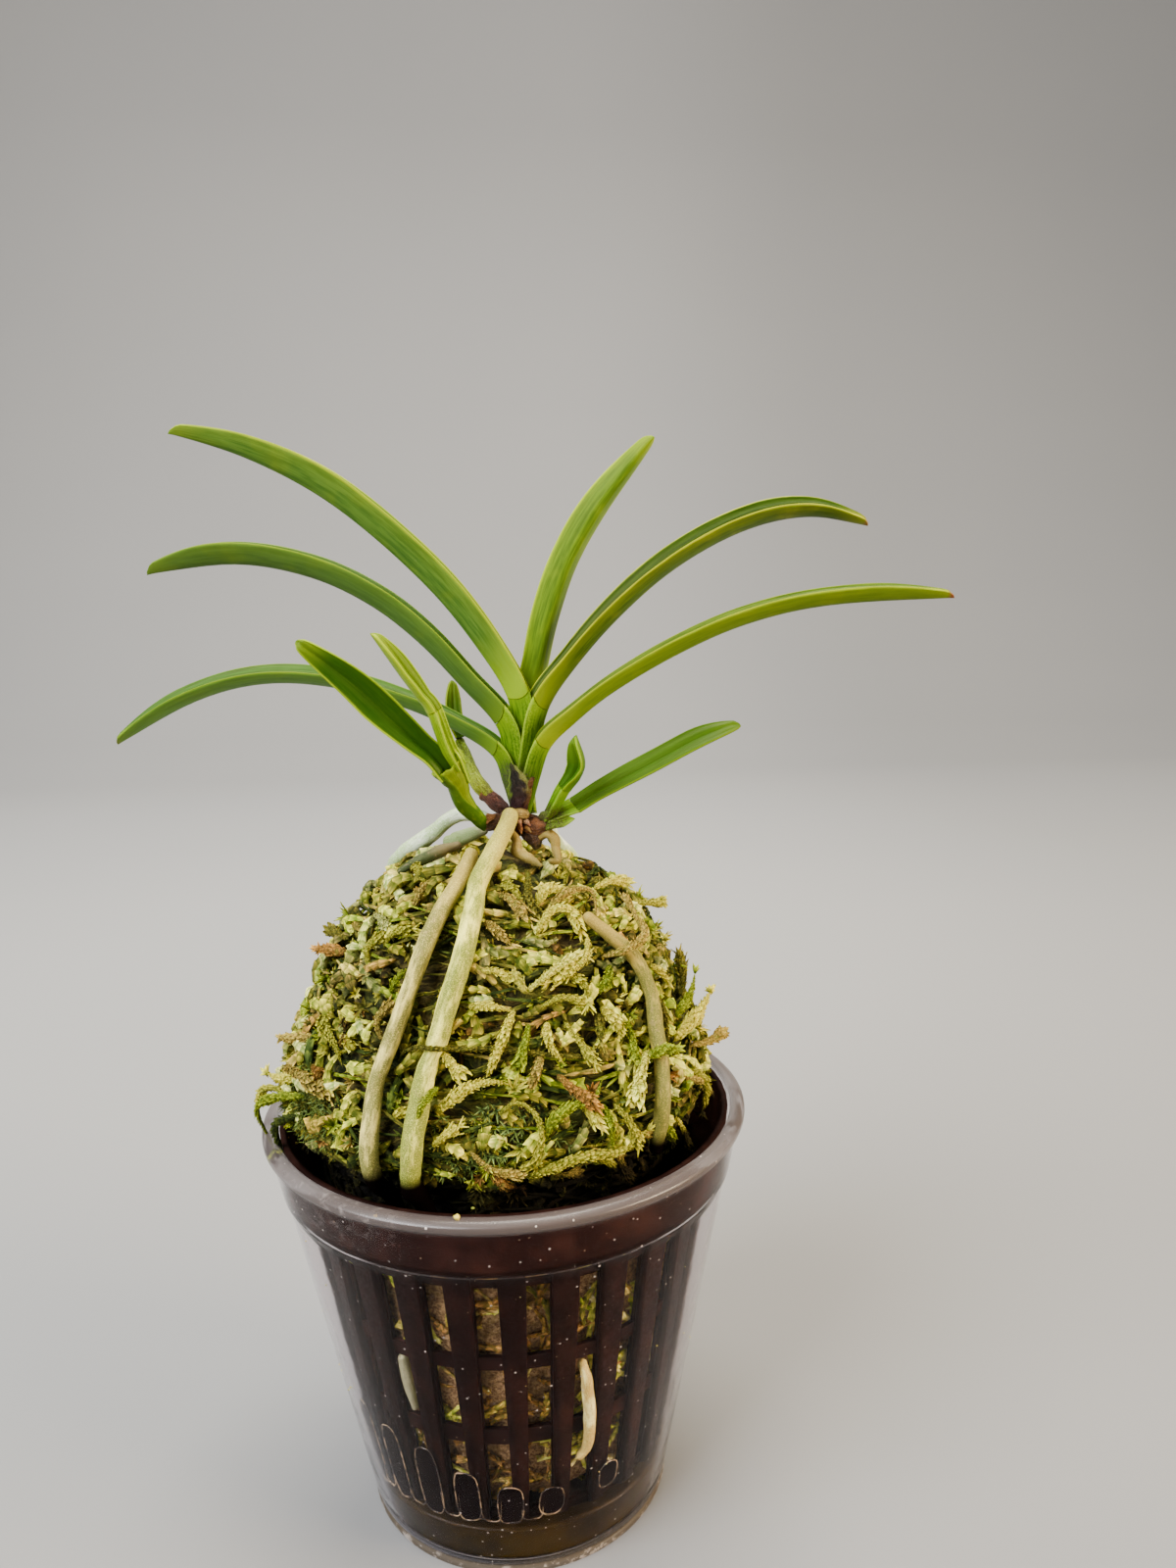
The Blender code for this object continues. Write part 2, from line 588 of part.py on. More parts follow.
# ---------------------------------------------------------------- the whole plant
def main():
    clear_scene()
    plant = new_collection("wind_orchid")
    cutters = new_collection("cutters")
    cutters.hide_render = True

    leaf = material("leaf", LEAF_GREEN, 0.35)
    young_leaf = material("young_leaf", YOUNG_GREEN, 0.35)
    sheath = material("sheath", SHEATH_GREEN, 0.4)
    tan_root = material("tan_root", ROOT_TAN, 0.6)
    silver_root = material("silver_root", ROOT_SILVER, 0.6)
    brown = material("crown_brown", CROWN_BROWN, 0.6)
    purple = material("old_sheath_purple", PURPLE, 0.6)

    make_cup(plant, material("clear_smoke", CLEAR_SMOKE, 0.12, 0.35))
    make_net_pot(plant, cutters, material("pot_black", POT_BLACK, 0.4))
    make_moss(plant, material("moss", MOSS_GREEN, 0.95))

    crown = make_round("crown", CROWN, plant, brown)
    knob = make_round("crown_knob", CROWN_KNOB, cutters, brown)
    join_bodies("crown", [crown, knob], plant)
    make_round("old_leaf_sheath", OLD_SHEATH, plant, purple)
    make_joined("main_stem", STEM_SHEATHS, plant, cutters, sheath)
    make_joined("front_shoot_stem", FRONT_SHOOT_SHEATHS, plant, cutters, sheath)
    make_joined("right_shoot_stem", RIGHT_SHOOT_SHEATHS, plant, cutters, sheath)
    make_round("back_shoot_stem", BACK_SHOOT, plant, purple)

    for name, shape in BLADES.items():
        make_blade(name, plant, young_leaf if "shoot" in name else leaf, **shape)
    for name, shape in ROOTS.items():
        laid_root(name, plant, silver_root if name.startswith("root_back") else tan_root, **shape)
    for name, shape in SLOT_ROOTS.items():
        slot_root(name, plant, silver_root, **shape)


main()
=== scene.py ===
import math
import random

import bmesh
import bpy
from mathutils import Matrix, Vector, kdtree, noise


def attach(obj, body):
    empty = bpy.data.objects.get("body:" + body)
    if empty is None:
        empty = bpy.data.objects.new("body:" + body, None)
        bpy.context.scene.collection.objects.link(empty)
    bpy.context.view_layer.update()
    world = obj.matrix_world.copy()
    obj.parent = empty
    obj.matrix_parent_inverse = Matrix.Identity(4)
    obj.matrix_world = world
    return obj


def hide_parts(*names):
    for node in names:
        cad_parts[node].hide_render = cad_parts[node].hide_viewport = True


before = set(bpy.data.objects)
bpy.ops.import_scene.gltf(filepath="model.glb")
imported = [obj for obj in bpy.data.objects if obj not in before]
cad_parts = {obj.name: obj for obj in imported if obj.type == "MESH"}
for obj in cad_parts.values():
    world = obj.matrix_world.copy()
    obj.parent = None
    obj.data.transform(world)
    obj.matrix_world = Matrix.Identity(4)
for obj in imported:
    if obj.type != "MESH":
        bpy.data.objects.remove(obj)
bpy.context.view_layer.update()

MM = 0.001
BODY = "root"
WELD = 1e-8  # metres, within which the seams of a skin meet
MARKS = ("straight", "tone", "share")  # vector layers that the finishes read

# ---------------------------------------------------------------- curves and skins


def clamp(value, low=0.0, high=1.0):
    return max(low, min(high, value))


def mix(a, b, share):
    return a + (b - a) * share


def smooth(value, low=0.0, high=1.0):
    share = clamp((value - low) / (high - low))
    return share * share * (3 - 2 * share)


def between(value, *stops):
    """A value read from (place, value) stops, eased from each to the next."""
    if value <= stops[0][0]:
        return stops[0][1]
    for (low, start), (high, stop) in zip(stops, stops[1:]):
        if value <= high:
            return mix(start, stop, smooth(value, low, high))
    return stops[-1][1]


def smooth_rows(rows, steps=6):
    """A smooth curve through the rows, with `steps` points from each row to the next."""
    rows = [Vector(row) for row in rows]
    ends = [2 * rows[0] - rows[1]] + rows + [2 * rows[-1] - rows[-2]]
    points = []
    for before, start, stop, after in zip(ends, ends[1:], ends[2:], ends[3:]):
        for step in range(steps):
            t = step / steps
            points.append(0.5 * (2 * start + (stop - before) * t
                                 + (2 * before - 5 * start + 4 * stop - after) * t ** 2
                                 + (3 * start - before - 3 * stop + after) * t ** 3))
    points.append(rows[-1])
    return points


class Route:
    """A smooth curve that gives its point and direction at a length along it, in millimetres."""

    def __init__(self, rows, steps=6):
        self.points = smooth_rows(rows, steps)
        last = len(self.points) - 1
        self.ways = [(self.points[min(i + 1, last)] - self.points[max(i - 1, 0)]).normalized()
                     for i in range(last + 1)]
        self.along = [0.0]
        for start, stop in zip(self.points, self.points[1:]):
            self.along.append(self.along[-1] + (stop - start).length)
        self.length = self.along[-1]

    def at(self, wanted):
        low, high = 0, len(self.along) - 1
        while high - low > 1:
            middle = (low + high) // 2
            low, high = (middle, high) if self.along[middle] <= wanted else (low, middle)
        share = (wanted - self.along[low]) / (self.along[high] - self.along[low])
        way = self.ways[low].lerp(self.ways[high], clamp(share)).normalized()
        return self.points[low].lerp(self.points[high], share), way


def spread(route, count):
    """Points evenly spread along a route, with `count` steps between them."""
    return [route.at(route.length * index / count)[0] for index in range(count + 1)]


def put(vert, point, marks, values):
    """Set a corner's place, in millimetres, and its marks."""
    vert.co = point * MM
    for layer, value in zip(marks, values):
        vert[layer] = value


def skin(bm, around, along, place, marks=()):
    """Add a tube to the bmesh: a grid whose sides meet. place(turn, share) gives the point in
    millimetres and a vector for each of the marks, which are vector layers of the points."""
    made = bmesh.ops.create_grid(bm, x_segments=around, y_segments=along, size=0.5)["verts"]
    for vert in made:
        point, *values = place(vert.co.x + 0.5, vert.co.y + 0.5)
        put(vert, point, marks, values)
    bmesh.ops.remove_doubles(bm, verts=made, dist=WELD)


def marked(names=MARKS):
    """An empty bmesh, and its vector layers for the marks."""
    bm = bmesh.new()
    return bm, [bm.verts.layers.float_vector.new(name) for name in names]


def close_ends(bm):
    """Cap every open ring, with the new corners keeping the marks of the ring."""
    rims = [edge for edge in bm.edges if edge.is_boundary]
    bmesh.ops.holes_fill(bm, edges=rims, sides=0)


def placed(name, data):
    """An object of the data, in the scene."""
    obj = bpy.data.objects.new(name, data)
    bpy.context.scene.collection.objects.link(obj)
    return obj


def meshed(name, bm, finish):
    mesh = bpy.data.meshes.new(name)
    bm.to_mesh(mesh)
    bm.free()
    mesh.materials.append(finish)
    return mesh


def piece(name, bm, finish, slot, stands_for=(), angle=50, out=True):
    """Make a finished piece of the bmesh, which rides on the plant's one body. stands_for names
    the node or nodes that it takes the place of, angle is the sharpest edge that is shaded smooth,
    in degrees, and out faces every face outward first."""
    if out:
        bmesh.ops.recalc_face_normals(bm, faces=bm.faces)
    mesh = meshed(name, bm, finish)
    if angle:
        mesh.shade_smooth()
        mesh.set_sharp_from_angle(angle=math.radians(angle))
    obj = placed(name, mesh)
    if stands_for:
        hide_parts(*([stands_for] if isinstance(stands_for, str) else stands_for))
    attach(obj, BODY)
    return obj


# ---------------------------------------------------------------- shader helpers


class Signal:
    """A node's output. Arithmetic with it adds the node that works it out."""

    def __init__(self, tree, socket):
        self.tree, self.socket = tree, socket

    def worked(self, operation, first, second):
        pair = [value.socket.type if isinstance(value, Signal) else type(value)
                for value in (first, second)]
        vectors = any(kind in ("VECTOR", "RGBA", tuple) for kind in pair)
        return (self.tree.vector if vectors else self.tree.math)(operation, first, second)

    def __add__(self, other):
        return self.worked("ADD", self, other)

    def __sub__(self, other):
        return self.worked("SUBTRACT", self, other)

    def __rsub__(self, other):
        return self.worked("SUBTRACT", other, self)

    def __mul__(self, other):
        return self.worked("MULTIPLY", self, other)

    def __abs__(self):
        return self.tree.math("ABSOLUTE", self)


class Tree:
    """Short ways to add and join the nodes of one material or node group."""

    def __init__(self, tree):
        self.tree = tree

    def node(self, kind, **settings):
        made = self.tree.nodes.new("ShaderNode" + kind)
        for name, value in settings.items():
            setattr(made, name, value)
        return made

    def join(self, source, target):
        """Link a signal or a socket to the target, or set the target to a plain value."""
        if isinstance(source, Signal):
            source = source.socket
        if isinstance(source, bpy.types.NodeSocket):
            self.tree.links.new(source, target)
        elif source is not None:
            if target.type == "RGBA" and len(source) == 3:
                source = (*source, 1.0)
            target.default_value = source

    def fed(self, made, sources, output=0):
        """Join a source to each of a node's inputs, in order or by name, and return an output."""
        named = sources.items() if isinstance(sources, dict) else enumerate(sources)
        for label, source in named:
            self.join(source, made.inputs[label])
        return Signal(self, made.outputs[output])

    def math(self, operation, *values, clamp=False):
        return self.fed(self.node("Math", operation=operation, use_clamp=clamp), values)

    def ramp(self, value, low, high, start=0.0, stop=1.0):
        """Value eased from start to stop while it goes from low to high."""
        made = self.node("MapRange", interpolation_type="SMOOTHSTEP")
        return self.fed(made, (value, low, high, start, stop))

    def blend(self, share, first, second):
        made = self.node("Mix", data_type="RGBA", clamp_factor=True)
        return self.fed(made, (share, None, None, None, None, None, first, second), 2)

    def vector(self, operation, first, second=None, scale=None):
        made = self.node("VectorMath", operation=operation)
        return self.fed(made, (first, second, None, scale), operation in ("LENGTH", "DISTANCE"))

    def parts(self, vector):
        made = self.node("SeparateXYZ")
        self.join(vector, made.inputs[0])
        return [Signal(self, output) for output in made.outputs]

    def combine(self, x, y, z):
        return self.fed(self.node("CombineXYZ"), (x, y, z))

    def mark(self, name):
        return Signal(self, self.node("Attribute", attribute_name=name).outputs["Vector"])

    def place(self, scale=1000.0):
        """Object coordinates, in millimetres."""
        return self.vector("SCALE", self.node("TexCoord").outputs["Object"], scale=scale)

    def noise(self, vector, scale, detail=3.0, rough=0.5, distortion=0.0):
        return self.fed(self.node("TexNoise"), dict(
            Vector=vector, Scale=scale, Detail=detail, Roughness=rough, Distortion=distortion))

    def cells(self, vector, scale):
        """The distance from the middle of the nearest of many scattered cells."""
        return self.fed(self.node("TexVoronoi"), dict(Vector=vector, Scale=scale), "Distance")

    def use(self, group, **values):
        """Place a node group, with a value or a signal for each of its named inputs."""
        made = self.node("Group", node_tree=group)
        self.fed(made, {name.replace("_", " "): value for name, value in values.items()})
        return {output.name: Signal(self, output) for output in made.outputs}

    def coat(self, into, colour, roughness=None, height=None, strength=0.5, depth=0.0002):
        """Give the shader its colour, its roughness and its bump, whose depth is in metres."""
        self.join(colour, into["Base Color"])
        self.join(roughness, into["Roughness"])
        if height is not None:
            bump = self.fed(self.node("Bump"), dict(Height=height, Strength=strength, Distance=depth))
            self.join(bump, into["Normal"])


def new_group(name, inputs, outputs):
    """A node group, whose inputs and outputs are given as the names of each kind of socket."""
    group = bpy.data.node_groups.new(name, "ShaderNodeTree")
    for side, sockets in (("INPUT", inputs), ("OUTPUT", outputs)):
        for kind, labels in sockets.items():
            for label in labels:
                group.interface.new_socket(label, in_out=side, socket_type="NodeSocket" + kind)
    tree = Tree(group)
    given = {socket.name: Signal(tree, socket) for socket in group.nodes.new("NodeGroupInput").outputs}
    return tree, given, group.nodes.new("NodeGroupOutput").inputs


SKIN_OUTPUTS = {"Color": ("Colour",), "Float": ("Roughness", "Height")}


def new_material(name, roughness=0.5, **plain):
    """A material with its Principled shader, and a Tree to build it with."""
    made = bpy.data.materials.new(name)
    made.use_nodes = True
    shader = made.node_tree.nodes["Principled BSDF"]
    shader.inputs["Roughness"].default_value = roughness
    for label, value in plain.items():
        shader.inputs[label.replace("_", " ")].default_value = value
    return made, Tree(made.node_tree), shader.inputs


# ---------------------------------------------------------------- folded leaves
# Each leaf runs from the foot of its sheath, over the joint, to the tip of its blade. foot and
# blade are its keel's route; half, fold and lean are its width from keel to margin, half the angle
# of its fold and how far its channel turns to the front, at foot, joint, widest and tip. joint is
# how far the joint bows down, and how much lower it lies at the keel than at the margin.
LEAVES = {
    "left_top": dict(
        foot=((4.7, -1.6, 133), (4.2, 0, 138), (3.8, 0, 146)),
        blade=((3, 0, 154.1), (-1.8, -0.6, 162.8), (-8.9, -1.4, 172.5), (-18.9, -2.4, 182.7),
               (-28.5, -3.2, 190.3), (-39.5, -4, 196.2), (-51.4, -5, 200.4)),
        side=-1, half=(3.3, 4.7, 5.6), fold=(20, 20, 28), lean=(0, 0, 0), tip=0.4, joint=(0.9, 0)),
    "left_middle": dict(
        foot=((3.9, -1.6, 132.8), (3, -0.6, 136.5), (2, -0.5, 144)),
        blade=((0.7, -0.4, 149.3), (-5.1, -0.1, 156.1), (-12.2, 0.3, 164), (-20.6, 1.1, 170.8),
               (-31, 2, 175.9), (-44, 2.9, 178.5), (-60.3, 4, 177.3)),
        side=-1, half=(3.8, 4.4, 4.7), fold=(25, 26, 30), lean=(4, 3, 3), tip=0.2, joint=(0.7, 1.7)),
    "left_low": dict(
        foot=((3.2, -1.8, 133.2), (1.7, -1.3, 138.8)),
        blade=((0, -0.6, 143.6), (-5.3, -0.5, 147.6), (-14, 0.4, 152), (-27.3, 2.2, 156.2),
               (-40.8, 4, 157.2), (-54, 5.8, 154.2), (-70.1, 8, 146.4)),
        side=-1, half=(4.0, 3.7, 3.7), fold=(29, 30, 34), lean=(6, 5, 18), tip=0.2, joint=(0.5, 1.2)),
    "right_upright": dict(
        foot=((5.9, -1.5, 132.6), (6.9, 0.5, 138), (7.8, 1.2, 147)),
        blade=((8.4, 1.8, 155.4), (9.4, 2, 160), (11.5, 1.4, 168), (15.2, 0.4, 177.5),
               (20.9, -1, 186.8), (30.1, -3, 198)),
        side=1, half=(3.0, 3.9, 4.4), fold=(40, 44, 40), lean=(-60, -68, -68), tip=0.42, joint=(0.6, 0)),
    "right_top": dict(
        foot=((6.5, -1.9, 132.8), (7.2, -0.9, 136), (9, -1, 144.6)),
        blade=((10.8, -1, 151.8), (15.3, -0.3, 158.4), (23.4, 0.8, 167.2), (33.6, 1.9, 175.6),
               (45.7, 3.1, 181.8), (57.3, 4.2, 184.1), (68.4, 5, 182.4)),
        side=1, half=(3.8, 4.6, 4.4), fold=(22, 22, 34), lean=(10, 16, 22), tip=0.28, joint=(0.8, 1.1)),
    "right_low": dict(
        foot=((7, -3, 133.4), (9, -3, 139.9)),
        blade=((11, -3, 145.1), (15.2, -3.3, 149.2), (22, -3.8, 154.5), (33.2, -4.7, 160.9),
               (45.1, -5.6, 165.9), (59, -6.6, 168.8), (80.2, -8, 169.7)),
        side=1, half=(3.8, 3.8, 3.6), fold=(22, 22, 34), lean=(8, 8, 8), tip=0.2, joint=(0.6, 0.2)),
    "front_shoot_broad": dict(
        foot=((-1.6, -5.8, 131.4), (-3.6, -8.6, 136), (-6.6, -11.1, 141.2)),
        blade=((-8.9, -12.2, 145.2), (-11.4, -12.4, 147.8), (-14.9, -12.8, 151.6),
               (-21.3, -13.6, 158.5), (-30, -15.4, 166)),
        side=-1, half=(2.6, 3.1, 3.5), fold=(34, 44, 60), lean=(44, 62, 80), tip=0.62, joint=(0.3, 0)),
    "front_shoot_young": dict(
        foot=((-4.9, -10, 140.6), (-7.4, -12.9, 146.6)),
        blade=((-9.4, -14.3, 153.6), (-10.9, -14.7, 156), (-13.6, -15.2, 160.2), (-17.7, -16, 166.9)),
        side=-1, half=(3.1, 2.9, 2.9), fold=(26, 26, 34), lean=(34, 30, 30), tip=0.5, joint=(0.3, 0)),
    "back_shoot": dict(
        foot=((-4.6, 7, 141.4), (-5.9, 8.1, 143.6)),
        blade=((-6.6, 8.7, 145.8), (-7.5, 9.8, 149.2), (-7.9, 10.8, 152.4), (-7.8, 11.6, 156.4)),
        side=-1, half=(1.2, 1.6, 2.3), fold=(34, 38, 44), lean=(70, 70, 74), tip=0.45, joint=(0.2, 0)),
    "right_shoot_long": dict(
        foot=((10.4, -4.6, 131.7), (12.6, -4.5, 132.9)),
        blade=((15.1, -4, 134.1), (20, -2.6, 136.7), (30, -1, 141.5), (38, 0.6, 145.2),
               (45.2, 2, 147.6)),
        side=1, half=(2.2, 2.5, 2.9), fold=(40, 58, 62), lean=(30, 38, 40), tip=0.3, joint=(0.2, 0)),
    "right_shoot_upright": dict(
        foot=((10.9, -4.8, 132.3), (12.5, -5.8, 135.1)),
        blade=((14.2, -6.3, 138), (16, -6.5, 140.4), (16.8, -6.6, 143.4), (15.5, -6.6, 148)),
        side=1, half=(2.3, 2.7, 3.2), fold=(32, 28, 38), lean=(20, 30, 44), tip=0.42, joint=(0.2, 0)),
}
BRACT = dict(
    foot=((10.6, -5.2, 131), (11, -5.5, 131.2)),
    blade=((11.4, -5.6, 131.3), (12.8, -5.9, 131.7), (14.8, -6.2, 132.9)),
    side=1, half=(1.7, 1.9, 2), fold=(34, 36, 40), lean=(40, 40, 44), tip=0.9, joint=(0, 0))
FLAP = dict(
    foot=((-4.6, -10.6, 140.8), (-5.3, -11.6, 143)),
    blade=((-6, -12.4, 145.4), (-7.3, -12.8, 149), (-9.6, -13.2, 153.6)),
    side=-1, half=(1.9, 2.5, 2), fold=(36, 40, 30), lean=(0, 4, 10), tip=0.9, joint=(0, 0))
STEMS = {
    "main_stem": ("left_top", "left_middle", "left_low", "right_upright", "right_top", "right_low"),
    "front_shoot_stem": ("front_shoot_young",),
    "right_shoot_stem": ("right_shoot_long", "right_shoot_upright"),
}
SCALES = {"front_shoot_stem": FLAP, "right_shoot_stem": BRACT}
SHEATHS_FROM = {"front_shoot_young": 0.25}  # as a share of the foot's length
THICK = 0.95  # of a blade's flesh beside the keel
MARGIN_THICK = 0.42
ACROSS = 22  # steps over the width of a leaf, on each face


class Leaf:
    def __init__(self, foot, blade, side, half, fold, lean, tip, joint):
        self.route = Route((*foot, *blade))
        self.joint_at = Route((*foot, blade[0])).length
        self.side, self.half, self.fold, self.lean, self.tip = side, half, fold, lean, tip
        self.bow, self.drop = joint

    def axes(self, way, lean):
        """Where the channel opens to, and the direction of the front half."""
        up = Vector((0, 1, 0)).cross(way) * -self.side
        up.normalize()
        front = way.cross(up)
        front.normalize()
        if front.y > 0:
            front.negate()
        turn = math.radians(lean)
        return up * math.cos(turn) + front * math.sin(turn), front * math.cos(turn) - up * math.sin(turn)

    def width(self, length):
        foot, joint, widest = self.half
        if length <= self.joint_at:
            return mix(foot, joint, smooth(length / self.joint_at))
        share = (length - self.joint_at) / (self.route.length - self.joint_at)
        taper = min(max(1 - share, 0.0) / self.tip, 1.0)
        cap = min((self.route.length - length) / (0.42 * widest), 1.0)
        full = widest * (0.88 + 0.12 * smooth(share, 0, 0.4))
        width = mix(joint, full, smooth(share, 0, 0.16))
        return (width * mix(0.32, 1, math.sin(taper * math.pi / 2) ** 0.8)
                * math.sqrt(max(1 - (1 - cap) ** 2, 0.0)))

    def joint_line(self, across):
        """How far the joint lies from the route's joint, for a place across the leaf."""
        reach = abs(across)
        return self.drop * reach - self.bow * 4 * reach * (1 - reach) * (0.6 + 0.4 * reach)

    def point(self, length, across, inside, puff=0.0):
        """A point of the outer or the inner face. across is -1 and 1 at the margins."""
        point, way = self.route.at(length)
        before, after = (0, 1) if length <= self.joint_at else (1, 2)
        share = (length / self.joint_at if before == 0
                 else min(2.2 * (length - self.joint_at) / (self.route.length - self.joint_at), 1))
        angle = math.radians(mix(self.fold[before], self.fold[after], share))
        up, front = self.axes(way, mix(self.lean[before], self.lean[after], share))
        half = max(self.width(length), 0.2)
        sign = 1 if across >= 0 else -1
        reach = abs(across)
        along = up * math.cos(angle) + front * sign * math.sin(angle)
        outward = front * sign * math.cos(angle) - up * math.sin(angle)
        thick = min(mix(THICK, MARGIN_THICK, smooth(reach, 0.35, 1)), 0.5 * half)
        keel = up * 0.22 * min(1, half / 3) * (1 - smooth(reach, 0, 0.1))
        belly = outward * (0.3 * min(1, half / 4) * math.sin(math.pi * reach ** 0.8)
                           + puff * smooth(reach, 0, 0.2))
        if not inside:
            return point + along * half * reach + belly + keel
        clear = clamp(thick / math.tan(angle) / half, 0, 0.85)
        moved = mix(clear, 1, reach)
        offset = outward * -thick
        return point + along * half * moved + offset + belly * reach


def folded_skin(bm, leaf, start, stop, rows, marks, puff=0.0):
    """The closed skin of a leaf's sheath or blade. start and stop give lengths for a place across."""

    def place(turn, share):
        inside = turn > 0.5
        across = 4 * turn - 3 if inside else 1 - 4 * turn
        across = math.copysign(1 - (1 - min(abs(across), 1)) ** 1.25, across)
        low, high = start(across), stop(across)
        length = mix(low, high, share)
        swell = puff * (1 - smooth(length - low, 0, 5))
        point = leaf.point(length, across, inside, swell)
        inner = float(inside)
        if abs(across) > 0.999:
            point = point.lerp(leaf.point(length, across, not inside, swell), 0.5)
            inner = 0.5
        return point, Vector((across, length - leaf.joint_at, inner))

    return skin(bm, 2 * ACROSS, rows, place, marks)


def blade(name, leaf, finish, slot, stands_for, rows, sunk):
    bm, marks = marked(("leaf",))
    tip = leaf.route.length
    folded_skin(bm, leaf, lambda across: leaf.joint_at + leaf.joint_line(across) + 0.04 - sunk,
                lambda across: tip - 0.25 * (1 - math.sqrt(max(1 - across * across, 0))), rows, marks,
                puff=0.1)
    close_ends(bm)
    return piece(name, bm, finish, slot, stands_for)


def sheath_skin(bm, leaf, marks, start):
    folded_skin(bm, leaf, lambda across: start * leaf.joint_at,
                lambda across: leaf.joint_at + leaf.joint_line(across) - 0.04, 26, marks)


def scale_skin(bm, shape, marks):
    """A whole small leaf with no joint."""
    leaf = Leaf(**shape)
    folded_skin(bm, leaf, lambda across: 0.0, lambda across: leaf.route.length, 30, marks)


def make_leaves(green, sheath_green):
    """Make every blade, and the clasping feet of each stem as one piece."""
    shown = {}
    for name, shape in LEAVES.items():
        shown[name] = leaf = Leaf(**shape)
        young = "shoot" in name
        node = name + "_blade" if young else "blade_" + name
        blade(node + "_leaf", leaf, green[name], "young_leaf" if young else "leaf", node,
              44 if young else 84, 3.2 if name == "front_shoot_broad" else 0.0)
    for node, names in STEMS.items():
        bm, marks = marked(("leaf",))
        for name in names:
            sheath_skin(bm, shown[name], marks, SHEATHS_FROM.get(name, 0.0))
        if node in SCALES:
            scale_skin(bm, SCALES[node], marks)
        close_ends(bm)
        # the front shoot's collar stands for its node
        stands_for = None if node == "front_shoot_stem" else node
        piece(node + "_sheaths", bm, sheath_green[node], "sheath", stands_for)


# ---------------------------------------------------------------- finishes of the leaves
FLESH = dict(IOR=1.42, Subsurface_Scale=0.002, Subsurface_Radius=(0.5, 1.0, 0.15))
YELLOWISH = (1.0, 1.0, 0.35, 1.0)  # the yellow tint of the waxy shine of leaves and sheaths, painted warm light in place of a warm lamp


def leaf_group():
    tree, given, out = new_group(
        "leaf_flesh", {"Color": ("Middle", "Deep", "Edge", "Base", "Inside"),
                       "Float": ("Edge width", "Base reach", "Tip at", "Brown tip")}, SKIN_OUTPUTS)
    across, along, inner = tree.parts(tree.mark("leaf"))
    reach = abs(across)
    lengthwise = tree.combine(across * 6.0, along * 0.09, inner)
    streaks = tree.noise(lengthwise, 1.3, 4.0, 0.62)
    veins = tree.noise(tree.combine(across * 24.0, along * 0.05, inner), 1.0, 2.0)
    clouds = tree.noise(tree.combine(across, along * 0.2, inner), 0.7, 3.0)
    colour = tree.blend(tree.ramp(streaks, 0.36, 0.64), given["Deep"], given["Middle"])
    colour = tree.blend(tree.ramp(veins, 0.35, 0.7, 0.0, 0.3), colour, given["Deep"])
    colour = tree.blend(tree.ramp(clouds, 0.5, 0.75, 0.0, 0.2), colour, given["Edge"])
    near_edge = tree.ramp(reach, 0.45, 1.0, 0.0, 0.18)
    colour = tree.blend(near_edge, colour, given["Edge"])
    base = tree.ramp(along + streaks * 4.0, given["Base reach"], 0.0, 0.0, 0.85)
    colour = tree.blend(base, colour, given["Base"])
    colour = tree.blend(inner * 0.93, colour,
                        tree.blend(tree.ramp(streaks, 0.3, 0.7), given["Inside"], given["Deep"]))
    rough_edge = reach + (clouds - 0.5) * 0.08
    edge = tree.ramp(rough_edge, 1.0 - given["Edge width"], 1.0)
    colour = tree.blend(edge, colour, given["Edge"])
    to_tip = given["Tip at"] - along
    colour = tree.blend(tree.ramp(to_tip, 7.0, 0.5, 0.0, 0.3), colour, given["Edge"])
    brown = tree.ramp(to_tip, 1.5, 0.4) * given["Brown tip"]
    colour = tree.blend(brown, colour, (0.16, 0.05, 0.015))
    tree.join(colour, out["Colour"])
    tree.join(tree.ramp(streaks, 0.2, 0.8, 0.36, 0.5), out["Roughness"])
    tree.join(veins * 0.6 + streaks, out["Height"])
    return tree.tree


def leaf_finish(name, flesh, **values):
    made, tree, into = new_material(name, Subsurface_Weight=0.12, Specular_IOR_Level=0.16,
                                    Specular_Tint=YELLOWISH, **FLESH)
    shown = tree.use(flesh, **values)
    tree.coat(into, shown["Colour"], shown["Roughness"], shown["Height"], 0.35, 0.00012)
    return made


